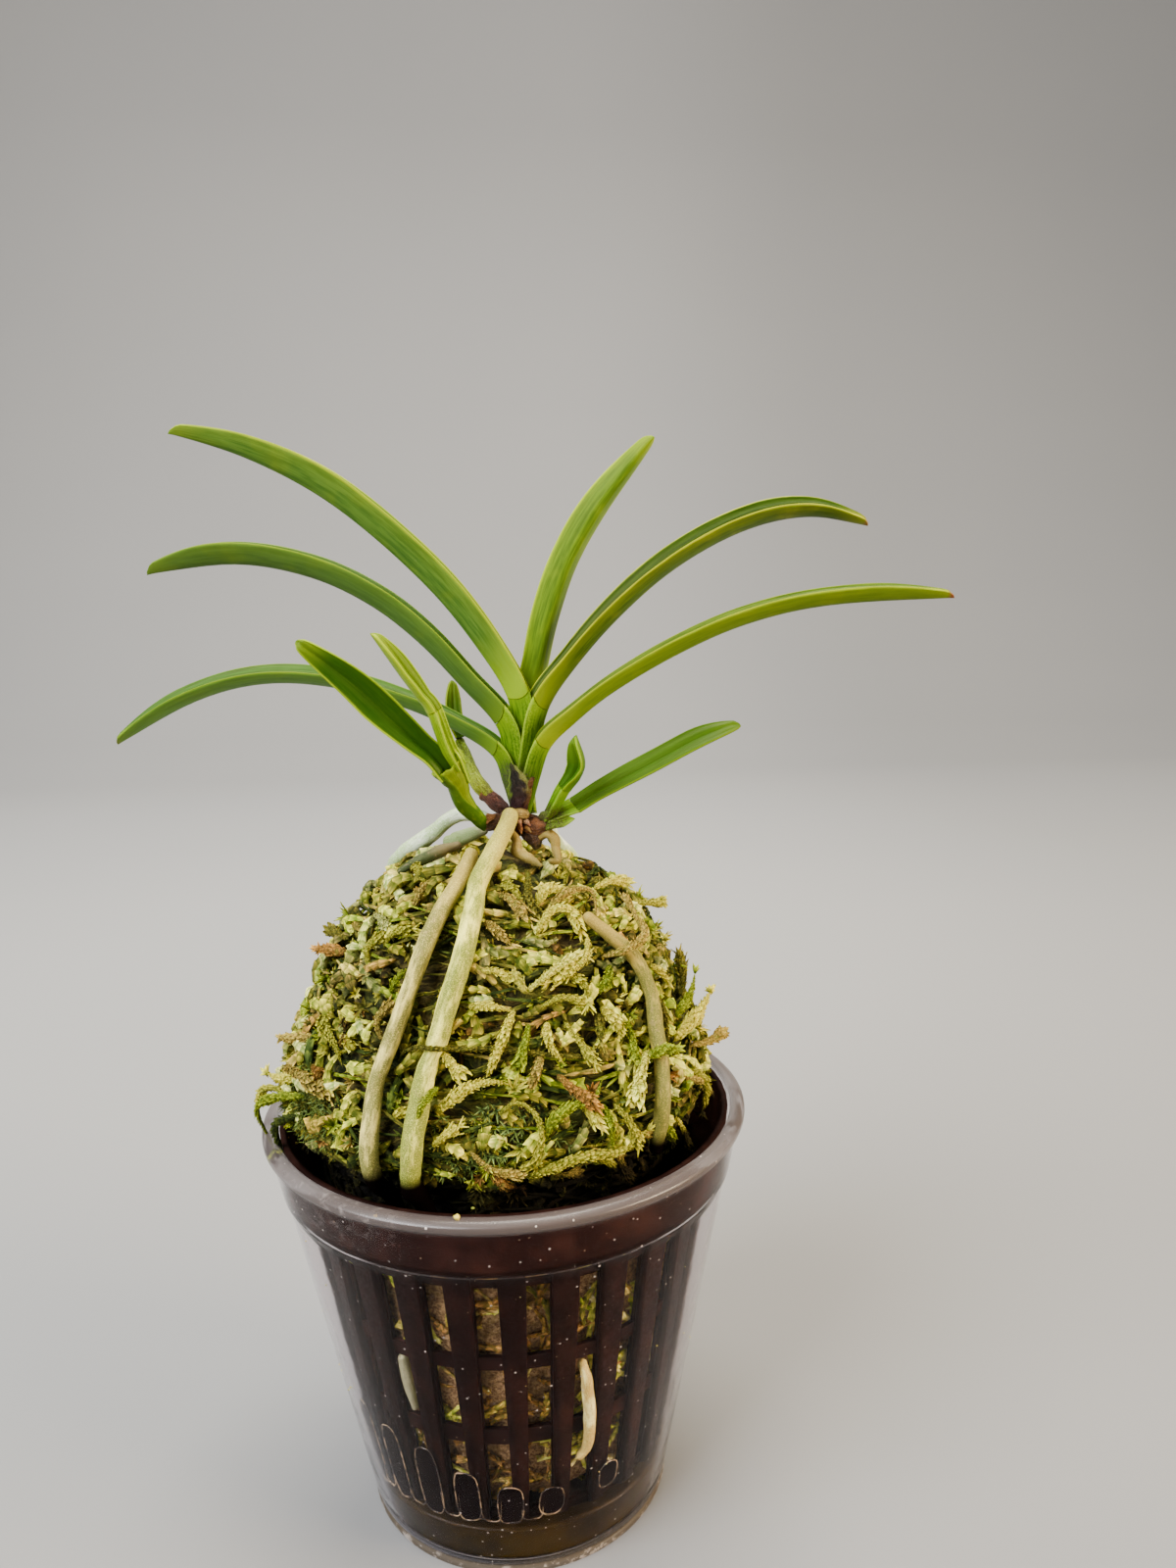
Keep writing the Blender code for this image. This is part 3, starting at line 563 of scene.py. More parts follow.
# Middle, deep, edge, base and inside colours of each leaf, then its edge width, the reach of the
# bright base, and how brown its tip is.
LEAF_COLOURS = {
    "left_top": ((0.086, 0.172, 0.02), (0.038, 0.1, 0.012), (0.239, 0.297, 0.004),
                 (0.268, 0.397, 0.001), (0.025, 0.072, 0.005), 0.1, 15, 0.0),
    "left_middle": ((0.056, 0.118, 0.018), (0.038, 0.086, 0.013), (0.151, 0.218, 0.009),
                    (0.122, 0.202, 0.007), (0.022, 0.056, 0.003), 0.06, 9, 0.0),
    "left_low": ((0.082, 0.184, 0.026), (0.054, 0.13, 0.019), (0.14, 0.21, 0.008),
                 (0.228, 0.389, 0.005), (0.018, 0.052, 0.005), 0.06, 8, 0.3),
    "right_upright": ((0.11, 0.192, 0.005), (0.049, 0.102, 0.005), (0.355, 0.445, 0.002),
                      (0.16, 0.241, 0.005), (0.042, 0.101, 0.003), 0.18, 8, 0.0),
    "right_top": ((0.058, 0.1, 0.004), (0.024, 0.054, 0.003), (0.32, 0.335, 0.008),
                  (0.162, 0.229, 0.002), (0.007, 0.024, 0.001), 0.07, 14, 0.8),
    "right_low": ((0.112, 0.174, 0.005), (0.078, 0.132, 0.004), (0.253, 0.288, 0.005),
                  (0.208, 0.275, 0.002), (0.016, 0.046, 0.001), 0.07, 12, 1.0),
    "front_shoot_broad": ((0.038, 0.103, 0.003), (0.015, 0.049, 0.002), (0.22, 0.305, 0.002),
                          (0.102, 0.194, 0.005), (0.01, 0.041, 0.002), 0.14, 4, 0.0),
    "front_shoot_young": ((0.199, 0.278, 0.004), (0.097, 0.179, 0.004), (0.24, 0.31, 0.001),
                          (0.2, 0.28, 0.001), (0.059, 0.089, 0.004), 0.14, 6, 0.0),
    "back_shoot": ((0.043, 0.099, 0.003), (0.017, 0.05, 0.002), (0.156, 0.209, 0.004),
                   (0.088, 0.14, 0.004), (0.02, 0.061, 0.003), 0.1, 3, 0.0),
    "right_shoot_long": ((0.038, 0.082, 0.001), (0.02, 0.052, 0.001), (0.1, 0.165, 0.001),
                         (0.1, 0.2, 0.002), (0.034, 0.085, 0.001), 0.08, 14, 0.0),
    "right_shoot_upright": ((0.037, 0.1, 0.002), (0.02, 0.065, 0.002), (0.139, 0.22, 0.003),
                            (0.073, 0.154, 0.002), (0.023, 0.067, 0.001), 0.1, 6, 0.0),
}


def leaf_finishes(flesh):
    made = {}
    for name, (middle, deep, edge, base, inside, width, reach, brown) in LEAF_COLOURS.items():
        leaf = Leaf(**LEAVES[name])
        made[name] = leaf_finish("leaf_" + name, flesh, Middle=middle, Deep=deep, Edge=edge, Base=base,
                                 Inside=inside, Edge_width=width, Base_reach=float(reach),
                                 Tip_at=leaf.route.length - leaf.joint_at, Brown_tip=brown)
    return made


def sheath_finish(name, middle, deep, edge, bloom, purple, purple_at, purple_reach):
    """Clasping leaf foot: streaked green, a pale dusty margin, and a stained foot."""
    made, tree, into = new_material(name, Subsurface_Weight=0.1, Specular_IOR_Level=0.12,
                                    Specular_Tint=YELLOWISH, **FLESH)
    across, along, inner = tree.parts(tree.mark("leaf"))
    reach = abs(across)
    place = tree.place()
    streaks = tree.noise(tree.combine(across * 9.0, along * 0.16, inner), 1.4, 4.0, 0.62)
    specks = tree.noise(place, 2.6, 4.0, 0.7)
    colour = tree.blend(tree.ramp(streaks, 0.35, 0.65), deep, middle)
    colour = tree.blend(tree.ramp(along, -3.0, 0.0, 0.0, 0.3), colour, edge)
    dust = tree.ramp(specks, 0.45, 0.62) * tree.ramp(reach, 0.3, 0.95, 0.02, 0.3)
    colour = tree.blend(dust, colour, bloom)
    rim = tree.ramp(reach + specks * 0.05, 0.93, 1.02)
    colour = tree.blend(rim * 0.45, colour, bloom)
    away = tree.vector("DISTANCE", place, purple_at)
    stain = tree.ramp(away + specks * -5.0, purple_reach, purple_reach * 0.1)
    speckled = stain * tree.ramp(tree.noise(place, 4.5, 2.0), 0.42, 0.6, 0.35, 1.0)
    colour = tree.blend(speckled, colour, purple)
    tree.coat(into, colour, tree.ramp(streaks, 0.2, 0.8, 0.42, 0.56), streaks + specks * 0.5, 0.4,
              0.00012)
    return made


def make_stems_and_leaves():
    flesh = leaf_group()
    sheaths = {
        "main_stem": sheath_finish("main_sheaths", (0.11, 0.21, 0.002), (0.032, 0.098, 0.002),
                                   (0.26, 0.42, 0.001), (0.34, 0.46, 0.03), (0.045, 0.028, 0.03),
                                   (3.2, -5.2, 139), 3.4),
        "front_shoot_stem": sheath_finish("front_shoot_sheaths", (0.16, 0.26, 0.001), (0.06, 0.13, 0.001),
                                          (0.3, 0.42, 0.001), (0.34, 0.42, 0.02), (0.16, 0.1, 0.03),
                                          (0.5, -5, 131), 3.2),
        "right_shoot_stem": sheath_finish("right_shoot_sheaths", (0.08, 0.19, 0.001), (0.035, 0.1, 0.001),
                                          (0.16, 0.26, 0.002), (0.2, 0.3, 0.02), (0.035, 0.022, 0.012),
                                          (10.2, -5.4, 132.4), 2.0),
    }
    make_leaves(leaf_finishes(flesh), sheaths)


make_stems_and_leaves()


# ---------------------------------------------------------------- the moss mound's form
# Radius, sideways shift and height of the mound from its top to its foot inside the net pot.
MOUND = (
    (0, -1, 127.2), (9, -1.2, 126.2), (15.8, -1.2, 123.6), (22.4, -0.8, 119.3), (27.8, -0.4, 113),
    (31.4, -0.4, 106), (34.2, -0.6, 99), (37.4, -1, 92.5), (39.4, -1.6, 87), (38.6, -1.6, 82.5),
    (35.4, -1, 78.5), (33.8, -0.4, 74), (33.8, 0, 66), (33.4, 0, 58), (30.6, 0, 40), (27.6, 0, 22),
    (26.2, 0, 15.2), (24, 0, 13.4), (12, 0, 12.9), (0, 0, 12.9),
)
MOUND_ROUTE = Route(MOUND, 4)
MOUND_MIDDLE = Vector((0, 0, 70))
IN_POT = 84  # the length down the mound from which it can be seen only through the slots


def mound_frame(down):
    """Radius, sideways shift and height at a length down the mound, and the outward lean there."""
    point, way = MOUND_ROUTE.at(clamp(down, 0, MOUND_ROUTE.length - 0.01))
    return point, Vector((-way.z, 0, way.x))


def on_mound(angle, down, lift=0.0):
    """A point over the mound: the turn from the front in degrees, and the length down from its top."""
    point, out = mound_frame(down)
    turn = math.radians(angle)
    radius = point.x + out.x * lift
    return Vector((point.y + radius * math.sin(turn), -radius * math.cos(turn), point.z + out.z * lift))


def out_of_mound(angle, down):
    return (on_mound(angle, down, 2) - on_mound(angle, down, 0)).normalized()


def around_pot(reach, turn, height):
    """A point at a distance from the pot's axis, at a turn from the front in degrees and a height."""
    angle = math.radians(turn)
    return Vector((reach * math.sin(angle), -reach * math.cos(angle), height))


# Painted shade darkens the moss, its core and the roots below this height, in the gap under the pot's
# rim.
MOUTH_TOP = 83.2  # the height under which the moss falls away from the rim into the dark
POT_WALL = 42.5


def painted_mouth_shade_group():
    """Painted shade: how far a place lies in the dark gap between the moss and the wall of the pot's
    mouth, and so how far its colour is darkened.
    """
    tree, given, out = new_group("painted_mouth_shade", {"Vector": ("Place",)}, {"Float": ("Dark",)})
    x, y, z = tree.parts(given["Place"])
    reach = tree.vector("LENGTH", tree.combine(x, y, 0.0))
    low = tree.ramp(z, MOUTH_TOP, MOUTH_TOP - 3.0) * tree.ramp(z, 66.0, 69.0)
    tree.join(low * tree.ramp(reach, POT_WALL, POT_WALL - 2.0), out["Dark"])
    return tree.tree


PAINTED_MOUTH_SHADE = painted_mouth_shade_group()
# the colour of the painted shade in that gap
PAINTED_GAP_SHADE = (0.004, 0.003, 0.002)


# ---------------------------------------------------------------- roots
# Each root: its radius, the points of its clear part, then points on the moss as the angle from
# the front and the length down the mound. swell gives (share of length, share of radius) stops.
ROOTS = {
    "root_front_long": dict(
        radius=1.72, clear=((3.4, -6.4, 134), (3, -7.1, 132.9), (1.4, -9.8, 130)),
        laid=((-1.5, 17.5), (-3.6, 24), (-6.5, 31), (-9.8, 38), (-12, 44), (-14, 49), (-14.4, 55),
              (-14.2, 60), (-15, 65), (-15.5, 70), (-15.5, 77)),
        swell=((0, 0.86), (0.1, 0.94), (0.35, 1.02), (0.565, 0.98), (0.59, 0.8), (0.62, 0.98),
               (0.72, 1.04), (0.83, 0.97), (0.845, 0.9), (0.87, 1.0), (1, 0.8))),
    "root_front_left": dict(
        radius=1.45, clear=(),
        laid=((-12, 10), (-13.4, 18.6), (-17.4, 24), (-20.6, 31), (-23, 38), (-25.5, 45), (-27, 51.5),
              (-25.8, 57), (-24.6, 62), (-24.6, 66), (-25, 71), (-25, 77)),
        swell=((0, 0.85), (0.1, 0.97), (0.3, 1.04), (0.42, 0.93), (0.5, 1.0), (0.62, 0.9), (0.75, 1.05),
               (1, 0.85))),
    "root_right": dict(
        radius=1.35, clear=(),
        laid=((42, 27), (47, 31), (53, 36), (54, 42), (51.5, 48), (49, 54), (46, 60), (45, 66)),
        swell=((0, 0.8), (0.2, 0.95), (0.35, 0.86), (0.5, 1.0), (0.75, 0.98), (0.85, 1.04), (1, 0.85))),
    "root_back_left": dict(
        radius=1.25,
        clear=((0.4, 0.6, 130.8), (-3, 2.2, 132.2), (-6.5, 3.6, 132.3), (-9.3, 4.4, 130.8),
               (-12, 5.2, 128.4)),
        laid=((-116, 19), (-124, 26), (-130, 34), (-134, 43)),
        swell=((0, 0.9), (0.2, 1.1), (0.35, 1.28), (0.5, 1.2), (1, 0.9))),
    "root_back": dict(
        radius=1.3, clear=((6.6, 1.4, 131), (8.2, 5, 130.6), (9.6, 9, 128.6)),
        laid=((140, 18), (146, 28), (150, 40), (148, 52), (152, 63), (153, 72)),
        swell=((0, 0.85), (0.3, 1.03), (0.5, 0.95), (0.7, 1.02), (1, 0.85))),
    "root_stub_left": dict(
        radius=1.4, clear=((-1.9, -1, 130.2), (-3.8, -1.4, 129.7)), laid=((-72, 6), (-74, 7.2)),
        swell=((0, 0.7), (0.4, 0.95), (0.8, 1.05), (1, 0.8))),
    "root_short_front": dict(
        radius=0.95, clear=((3.3, -5.6, 130.6), (4.4, -6.7, 129.3)),
        laid=((36, 9.4), (39, 12), (42, 14.4)),
        swell=((0, 0.8), (0.2, 0.85), (0.35, 1.05), (0.55, 0.9), (0.7, 1.0), (0.85, 0.7), (1, 0.4))),
    "root_old_left": dict(
        radius=1.05, clear=(), laid=((-52, 6.5), (-56, 10), (-60, 14), (-62, 17)),
        swell=((0, 0.7), (0.3, 1.0), (0.6, 0.9), (1, 0.6))),
    "root_curl_right": dict(
        radius=0.85, clear=((7.6, -4.2, 128.2), (8.6, -4.8, 129.7), (10, -5.3, 130.2),
                            (11.1, -5.7, 129.2), (11.2, -6, 127.6)),
        laid=((60, 14.5), (54, 14)),
        swell=((0, 0.8), (0.4, 1.05), (0.7, 0.9), (1, 0.6))),
}
# Roots at the slots of the net pot: the distance from the pot's axis, the turn in degrees from the
# front and the height.
SLOT_ROOTS = {
    "root_out_of_slot": dict(
        radius=1.08,
        route=((33, 24, 43.4), (34.2, 24.4, 41.4), (33.6, 25, 38.6), (32.6, 26.2, 33.3),
               (31.6, 26.6, 27.8), (31.1, 25.8, 25.2), (30.85, 23.8, 23.8)),
        swell=((0, 0.75), (0.18, 0.95), (0.45, 1.05), (0.8, 0.95), (1, 0.7))),
    "root_behind_slot": dict(
        radius=1.0,
        route=((32.4, -32.4, 43.4), (31.9, -32.2, 40), (31.3, -31.8, 36.4), (30.7, -31.4, 32.8)),
        swell=((0, 0.9), (0.5, 1.0), (1, 0.6))),
}
ROOT_LIFT = 0.6  # from the moss to the underside of a root
ROOT_SHINE = 0.12


def root_route(radius, swell, clear=(), laid=(), route=()):
    """The route of a root of the tables above. swell is there only to take up its key."""
    rows = [Vector(row) for row in clear]
    rows += [on_mound(*spot, radius + ROOT_LIFT) for spot in laid]
    rows += [around_pot(*row) for row in route]
    return Route(rows, 5)


def ring_axes(route, steps):
    """A ring plane at each step of a route, turned as little as possible from one to the next."""
    axes = []
    side = None
    for step in range(steps + 1):
        point, way = route.at(route.length * step / steps)
        if side is None:
            side = way.orthogonal().normalized()
        side = (side - way * side.dot(way)).normalized()
        axes.append((point, way, side, way.cross(side)))
    return axes


def domed_skin(bm, marks, route, around, steps, domes, push, least, size_at, surface):
    """A closed tube along a route, with a dome of some rings at each end. push is how far the domes
    stand out and least how small their last ring is, as shares of size_at(share), the radius.
    surface(angle, length, share, facing) gives the reach as a share of the radius, and the marks."""
    axes = ring_axes(route, steps)

    def place(turn, share):
        step = share * (steps + 2 * domes) - domes
        index = int(clamp(round(step), 0, steps))
        point, way, side, other = axes[index]
        beyond = step - index
        share = index / steps
        size = size_at(share)
        if beyond:
            dome = abs(beyond) / domes * math.pi / 2
            point = point + way * math.copysign(size * push * math.sin(dome), beyond)
            size *= max(math.cos(dome), least)
        angle = turn * 2 * math.pi
        facing = side * math.cos(angle) + other * math.sin(angle)
        reach, *values = surface(angle, route.length * share, share, facing)
        return (point + facing * (size * reach), *values)

    skin(bm, around, steps + 2 * domes, place, marks)


def bumps(angle, length, seed, wide, along):
    """Smooth noise round a tube. wide is how fast it changes round the tube, along how fast down it."""
    return noise.noise(Vector((math.cos(angle) * wide + seed, math.sin(angle) * wide, length * along)))


def cord_skin(bm, route, radius, swell, marks, around, steps, lumps, seed):
    """A closed root along a route: rounded ends, gentle lumps, a slightly oval section."""

    def surface(angle, length, share, facing):
        lump = bumps(angle, length, seed, 0.9, 0.28) + 0.5 * bumps(angle, length, seed, 2, 0.9)
        straight = Vector((math.cos(angle) * radius, math.sin(angle) * radius, length))
        return (1 + lumps * lump + 0.02 * math.cos(2 * angle + seed), straight,
                Vector((share, route.length - length, seed)))

    domed_skin(bm, marks, route, around, steps, 4, 0.85, 0.03,
               lambda share: radius * between(share, *swell), surface)


def root_group():
    """Velamen: a chalky skin over green flesh, tanned where it is old, with lengthwise specks."""
    tree, given, out = new_group(
        "root_skin", {"Color": ("Chalk", "Green", "Tan"), "Float": ("Tan from", "Tan to", "Blotches")},
        SKIN_OUTPUTS)
    straight = tree.mark("straight")
    share, left, seed = tree.parts(tree.mark("share"))
    moved = straight + tree.combine(seed, seed, seed * 7.0)
    long_way = moved * (1.0, 1.0, 0.16)
    patches = tree.noise(moved * (0.8, 0.8, 0.3), 0.55, 4.0, 0.55)
    fibres = tree.noise(long_way, 2.6, 3.0, 0.6)
    grain = tree.noise(moved, 6.0, 3.0, 0.7)
    green = tree.ramp(patches + fibres * 0.5, 0.5, 0.84)
    green = green + tree.ramp(share + patches * 0.3, 0.74, 1.04, 0.0, 0.9)
    colour = tree.blend(green, given["Chalk"], given["Green"])
    tan = tree.ramp(share + (patches - 0.5) * 0.5, given["Tan from"], given["Tan to"])
    colour = tree.blend(tan * 0.9, colour, given["Tan"])
    blotch = tree.ramp(tree.noise(moved, 0.9, 3.0, 0.6), 0.56, 0.68)
    colour = tree.blend(blotch * given["Blotches"], colour,
                        tree.blend(0.5, given["Tan"], (0.3, 0.2, 0.12)))
    colour = tree.blend(tree.ramp(grain, 0.48, 0.7, 0.0, 0.4), colour, given["Chalk"] * (1.45, 1.42, 1.5))
    colour = tree.blend(tree.ramp(fibres, 0.5, 0.3, 0.0, 0.55), colour, colour * (0.62, 0.62, 0.5))
    colour = tree.blend(tree.ramp(tree.noise(moved, 3.2, 2.0), 0.6, 0.72, 0.0, 0.5), colour,
                        (0.13, 0.11, 0.04))
    tree.join(colour, out["Colour"])
    tree.join(tree.ramp(grain, 0.3, 0.7, 0.5, 0.68), out["Roughness"])
    tree.join(patches * 1.4 + (fibres + grain * 0.6), out["Height"])
    return tree.tree


def root_finish(name, velamen, chalk, green, tan, tan_from, tan_to, blotches):
    """Root skin, unlit where it goes down into the mouth of the pot."""
    made, tree, into = new_material(name, Subsurface_Weight=0.08, Subsurface_Scale=0.001,
                                    Subsurface_Radius=(0.8, 1.0, 0.5))
    shown = tree.use(velamen, Chalk=chalk, Green=green, Tan=tan, Tan_from=tan_from, Tan_to=tan_to,
                     Blotches=blotches)
    # painted shade in the pot's mouth, set 2 mm higher on the roots than on the moss; it also takes away
    # their shine
    sunk = tree.place() * (0.92, 0.92, 1.0) - (0.0, 0.0, 2.0)
    dark = tree.use(PAINTED_MOUTH_SHADE, Place=sunk)["Dark"]
    tree.join((1.0 - dark) * ROOT_SHINE, into["Specular IOR Level"])
    colour = tree.blend(dark, shown["Colour"], (0.002, 0.001, 0.001))
    tree.coat(into, colour, shown["Roughness"], shown["Height"], 0.45, 0.00015)
    return made


# The name of each root's finish, its chalk, green and tan colours, where the tan starts and where
# it is full as shares of the length, and how blotched it is.
ROOT_COLOURS = {
    "root_front_long": ("root_tan_to_green", (0.94, 0.87, 0.17), (0.15, 0.18, 0.02), (0.34, 0.28, 0.05),
                        0.24, 0.04, 0.3),
    "root_front_left": ("root_dusty", (0.88, 0.73, 0.2), (0.14, 0.14, 0.03), (0.34, 0.25, 0.05), 0.34,
                        0.04, 0.45),
    "root_right": ("root_grey_green", (0.58, 0.44, 0.09), (0.12, 0.12, 0.02), (0.24, 0.17, 0.03), 0.3,
                   0.0, 0.4),
    "silver": ("root_silver", (0.92, 0.96, 0.78), (0.34, 0.46, 0.2), (0.5, 0.5, 0.32), 0.05, -0.1, 0.08),
    "root_stub_left": ("root_stub_green", (0.32, 0.37, 0.2), (0.16, 0.22, 0.07), (0.3, 0.28, 0.14), 0.3,
                       0.0, 0.2),
    "root_old_left": ("root_old_dark", (0.1, 0.12, 0.05), (0.035, 0.05, 0.015), (0.16, 0.12, 0.05), 0.6,
                      0.2, 0.5),
    "scaly": ("root_scaly_tan", (0.36, 0.28, 0.07), (0.11, 0.09, 0.02), (0.22, 0.15, 0.03), 1.2, 0.3,
              0.6),
    "cream": ("root_cream", (0.9, 0.9, 0.36), (0.34, 0.24, 0.05), (0.4, 0.2, 0.05), -0.2, -0.4, 0.2),
    "behind": ("root_behind_bars", (0.34, 0.3, 0.18), (0.2, 0.2, 0.1), (0.2, 0.14, 0.06), -0.2, -0.4,
               0.2),
}
ROOT_LOOKS = {"root_back_left": "silver", "root_back": "silver", "root_short_front": "scaly",
              "root_curl_right": "scaly", "root_out_of_slot": "cream", "root_behind_slot": "behind"}
SILVER_ROOTS = ("root_back_left", "root_back", "root_stub_left", "root_out_of_slot", "root_behind_slot")


def make_roots():
    """Make every root, and return the route and the radius of each."""
    velamen = root_group()
    finishes = {look: root_finish(name, velamen, *values)
                for look, (name, *values) in ROOT_COLOURS.items()}
    lines = []
    for seed, (name, shape) in enumerate({**ROOTS, **SLOT_ROOTS}.items()):
        route = root_route(**shape)
        lines.append((route, shape["radius"]))
        bm, marks = marked(("straight", "share"))
        small = shape["radius"] < 1
        cord_skin(bm, route, shape["radius"], shape["swell"], marks, around=18 if small else 26,
                  steps=int(route.length * (3 if small else 2.4)), lumps=0.2 if small else 0.075,
                  seed=seed * 3.7)
        close_ends(bm)
        piece(name + "_skin", bm, finishes[ROOT_LOOKS.get(name, name)],
              "silver_root" if name in SILVER_ROOTS else "root", name, angle=70)
    return lines


ROOT_LINES = make_roots()


# ---------------------------------------------------------------- moss
CREAM, PALE, GREY = (0.86, 0.68, 0.08), (0.48, 0.42, 0.05), (0.54, 0.51, 0.17)
LIME, DEEP, TAN = (0.26, 0.3, 0.018), (0.04, 0.056, 0.01), (0.46, 0.31, 0.07)
OLIVE, RUST, UMBER = (0.16, 0.135, 0.02), (0.36, 0.17, 0.04), (0.08, 0.045, 0.012)
WHITE = (0.96, 0.8, 0.13)

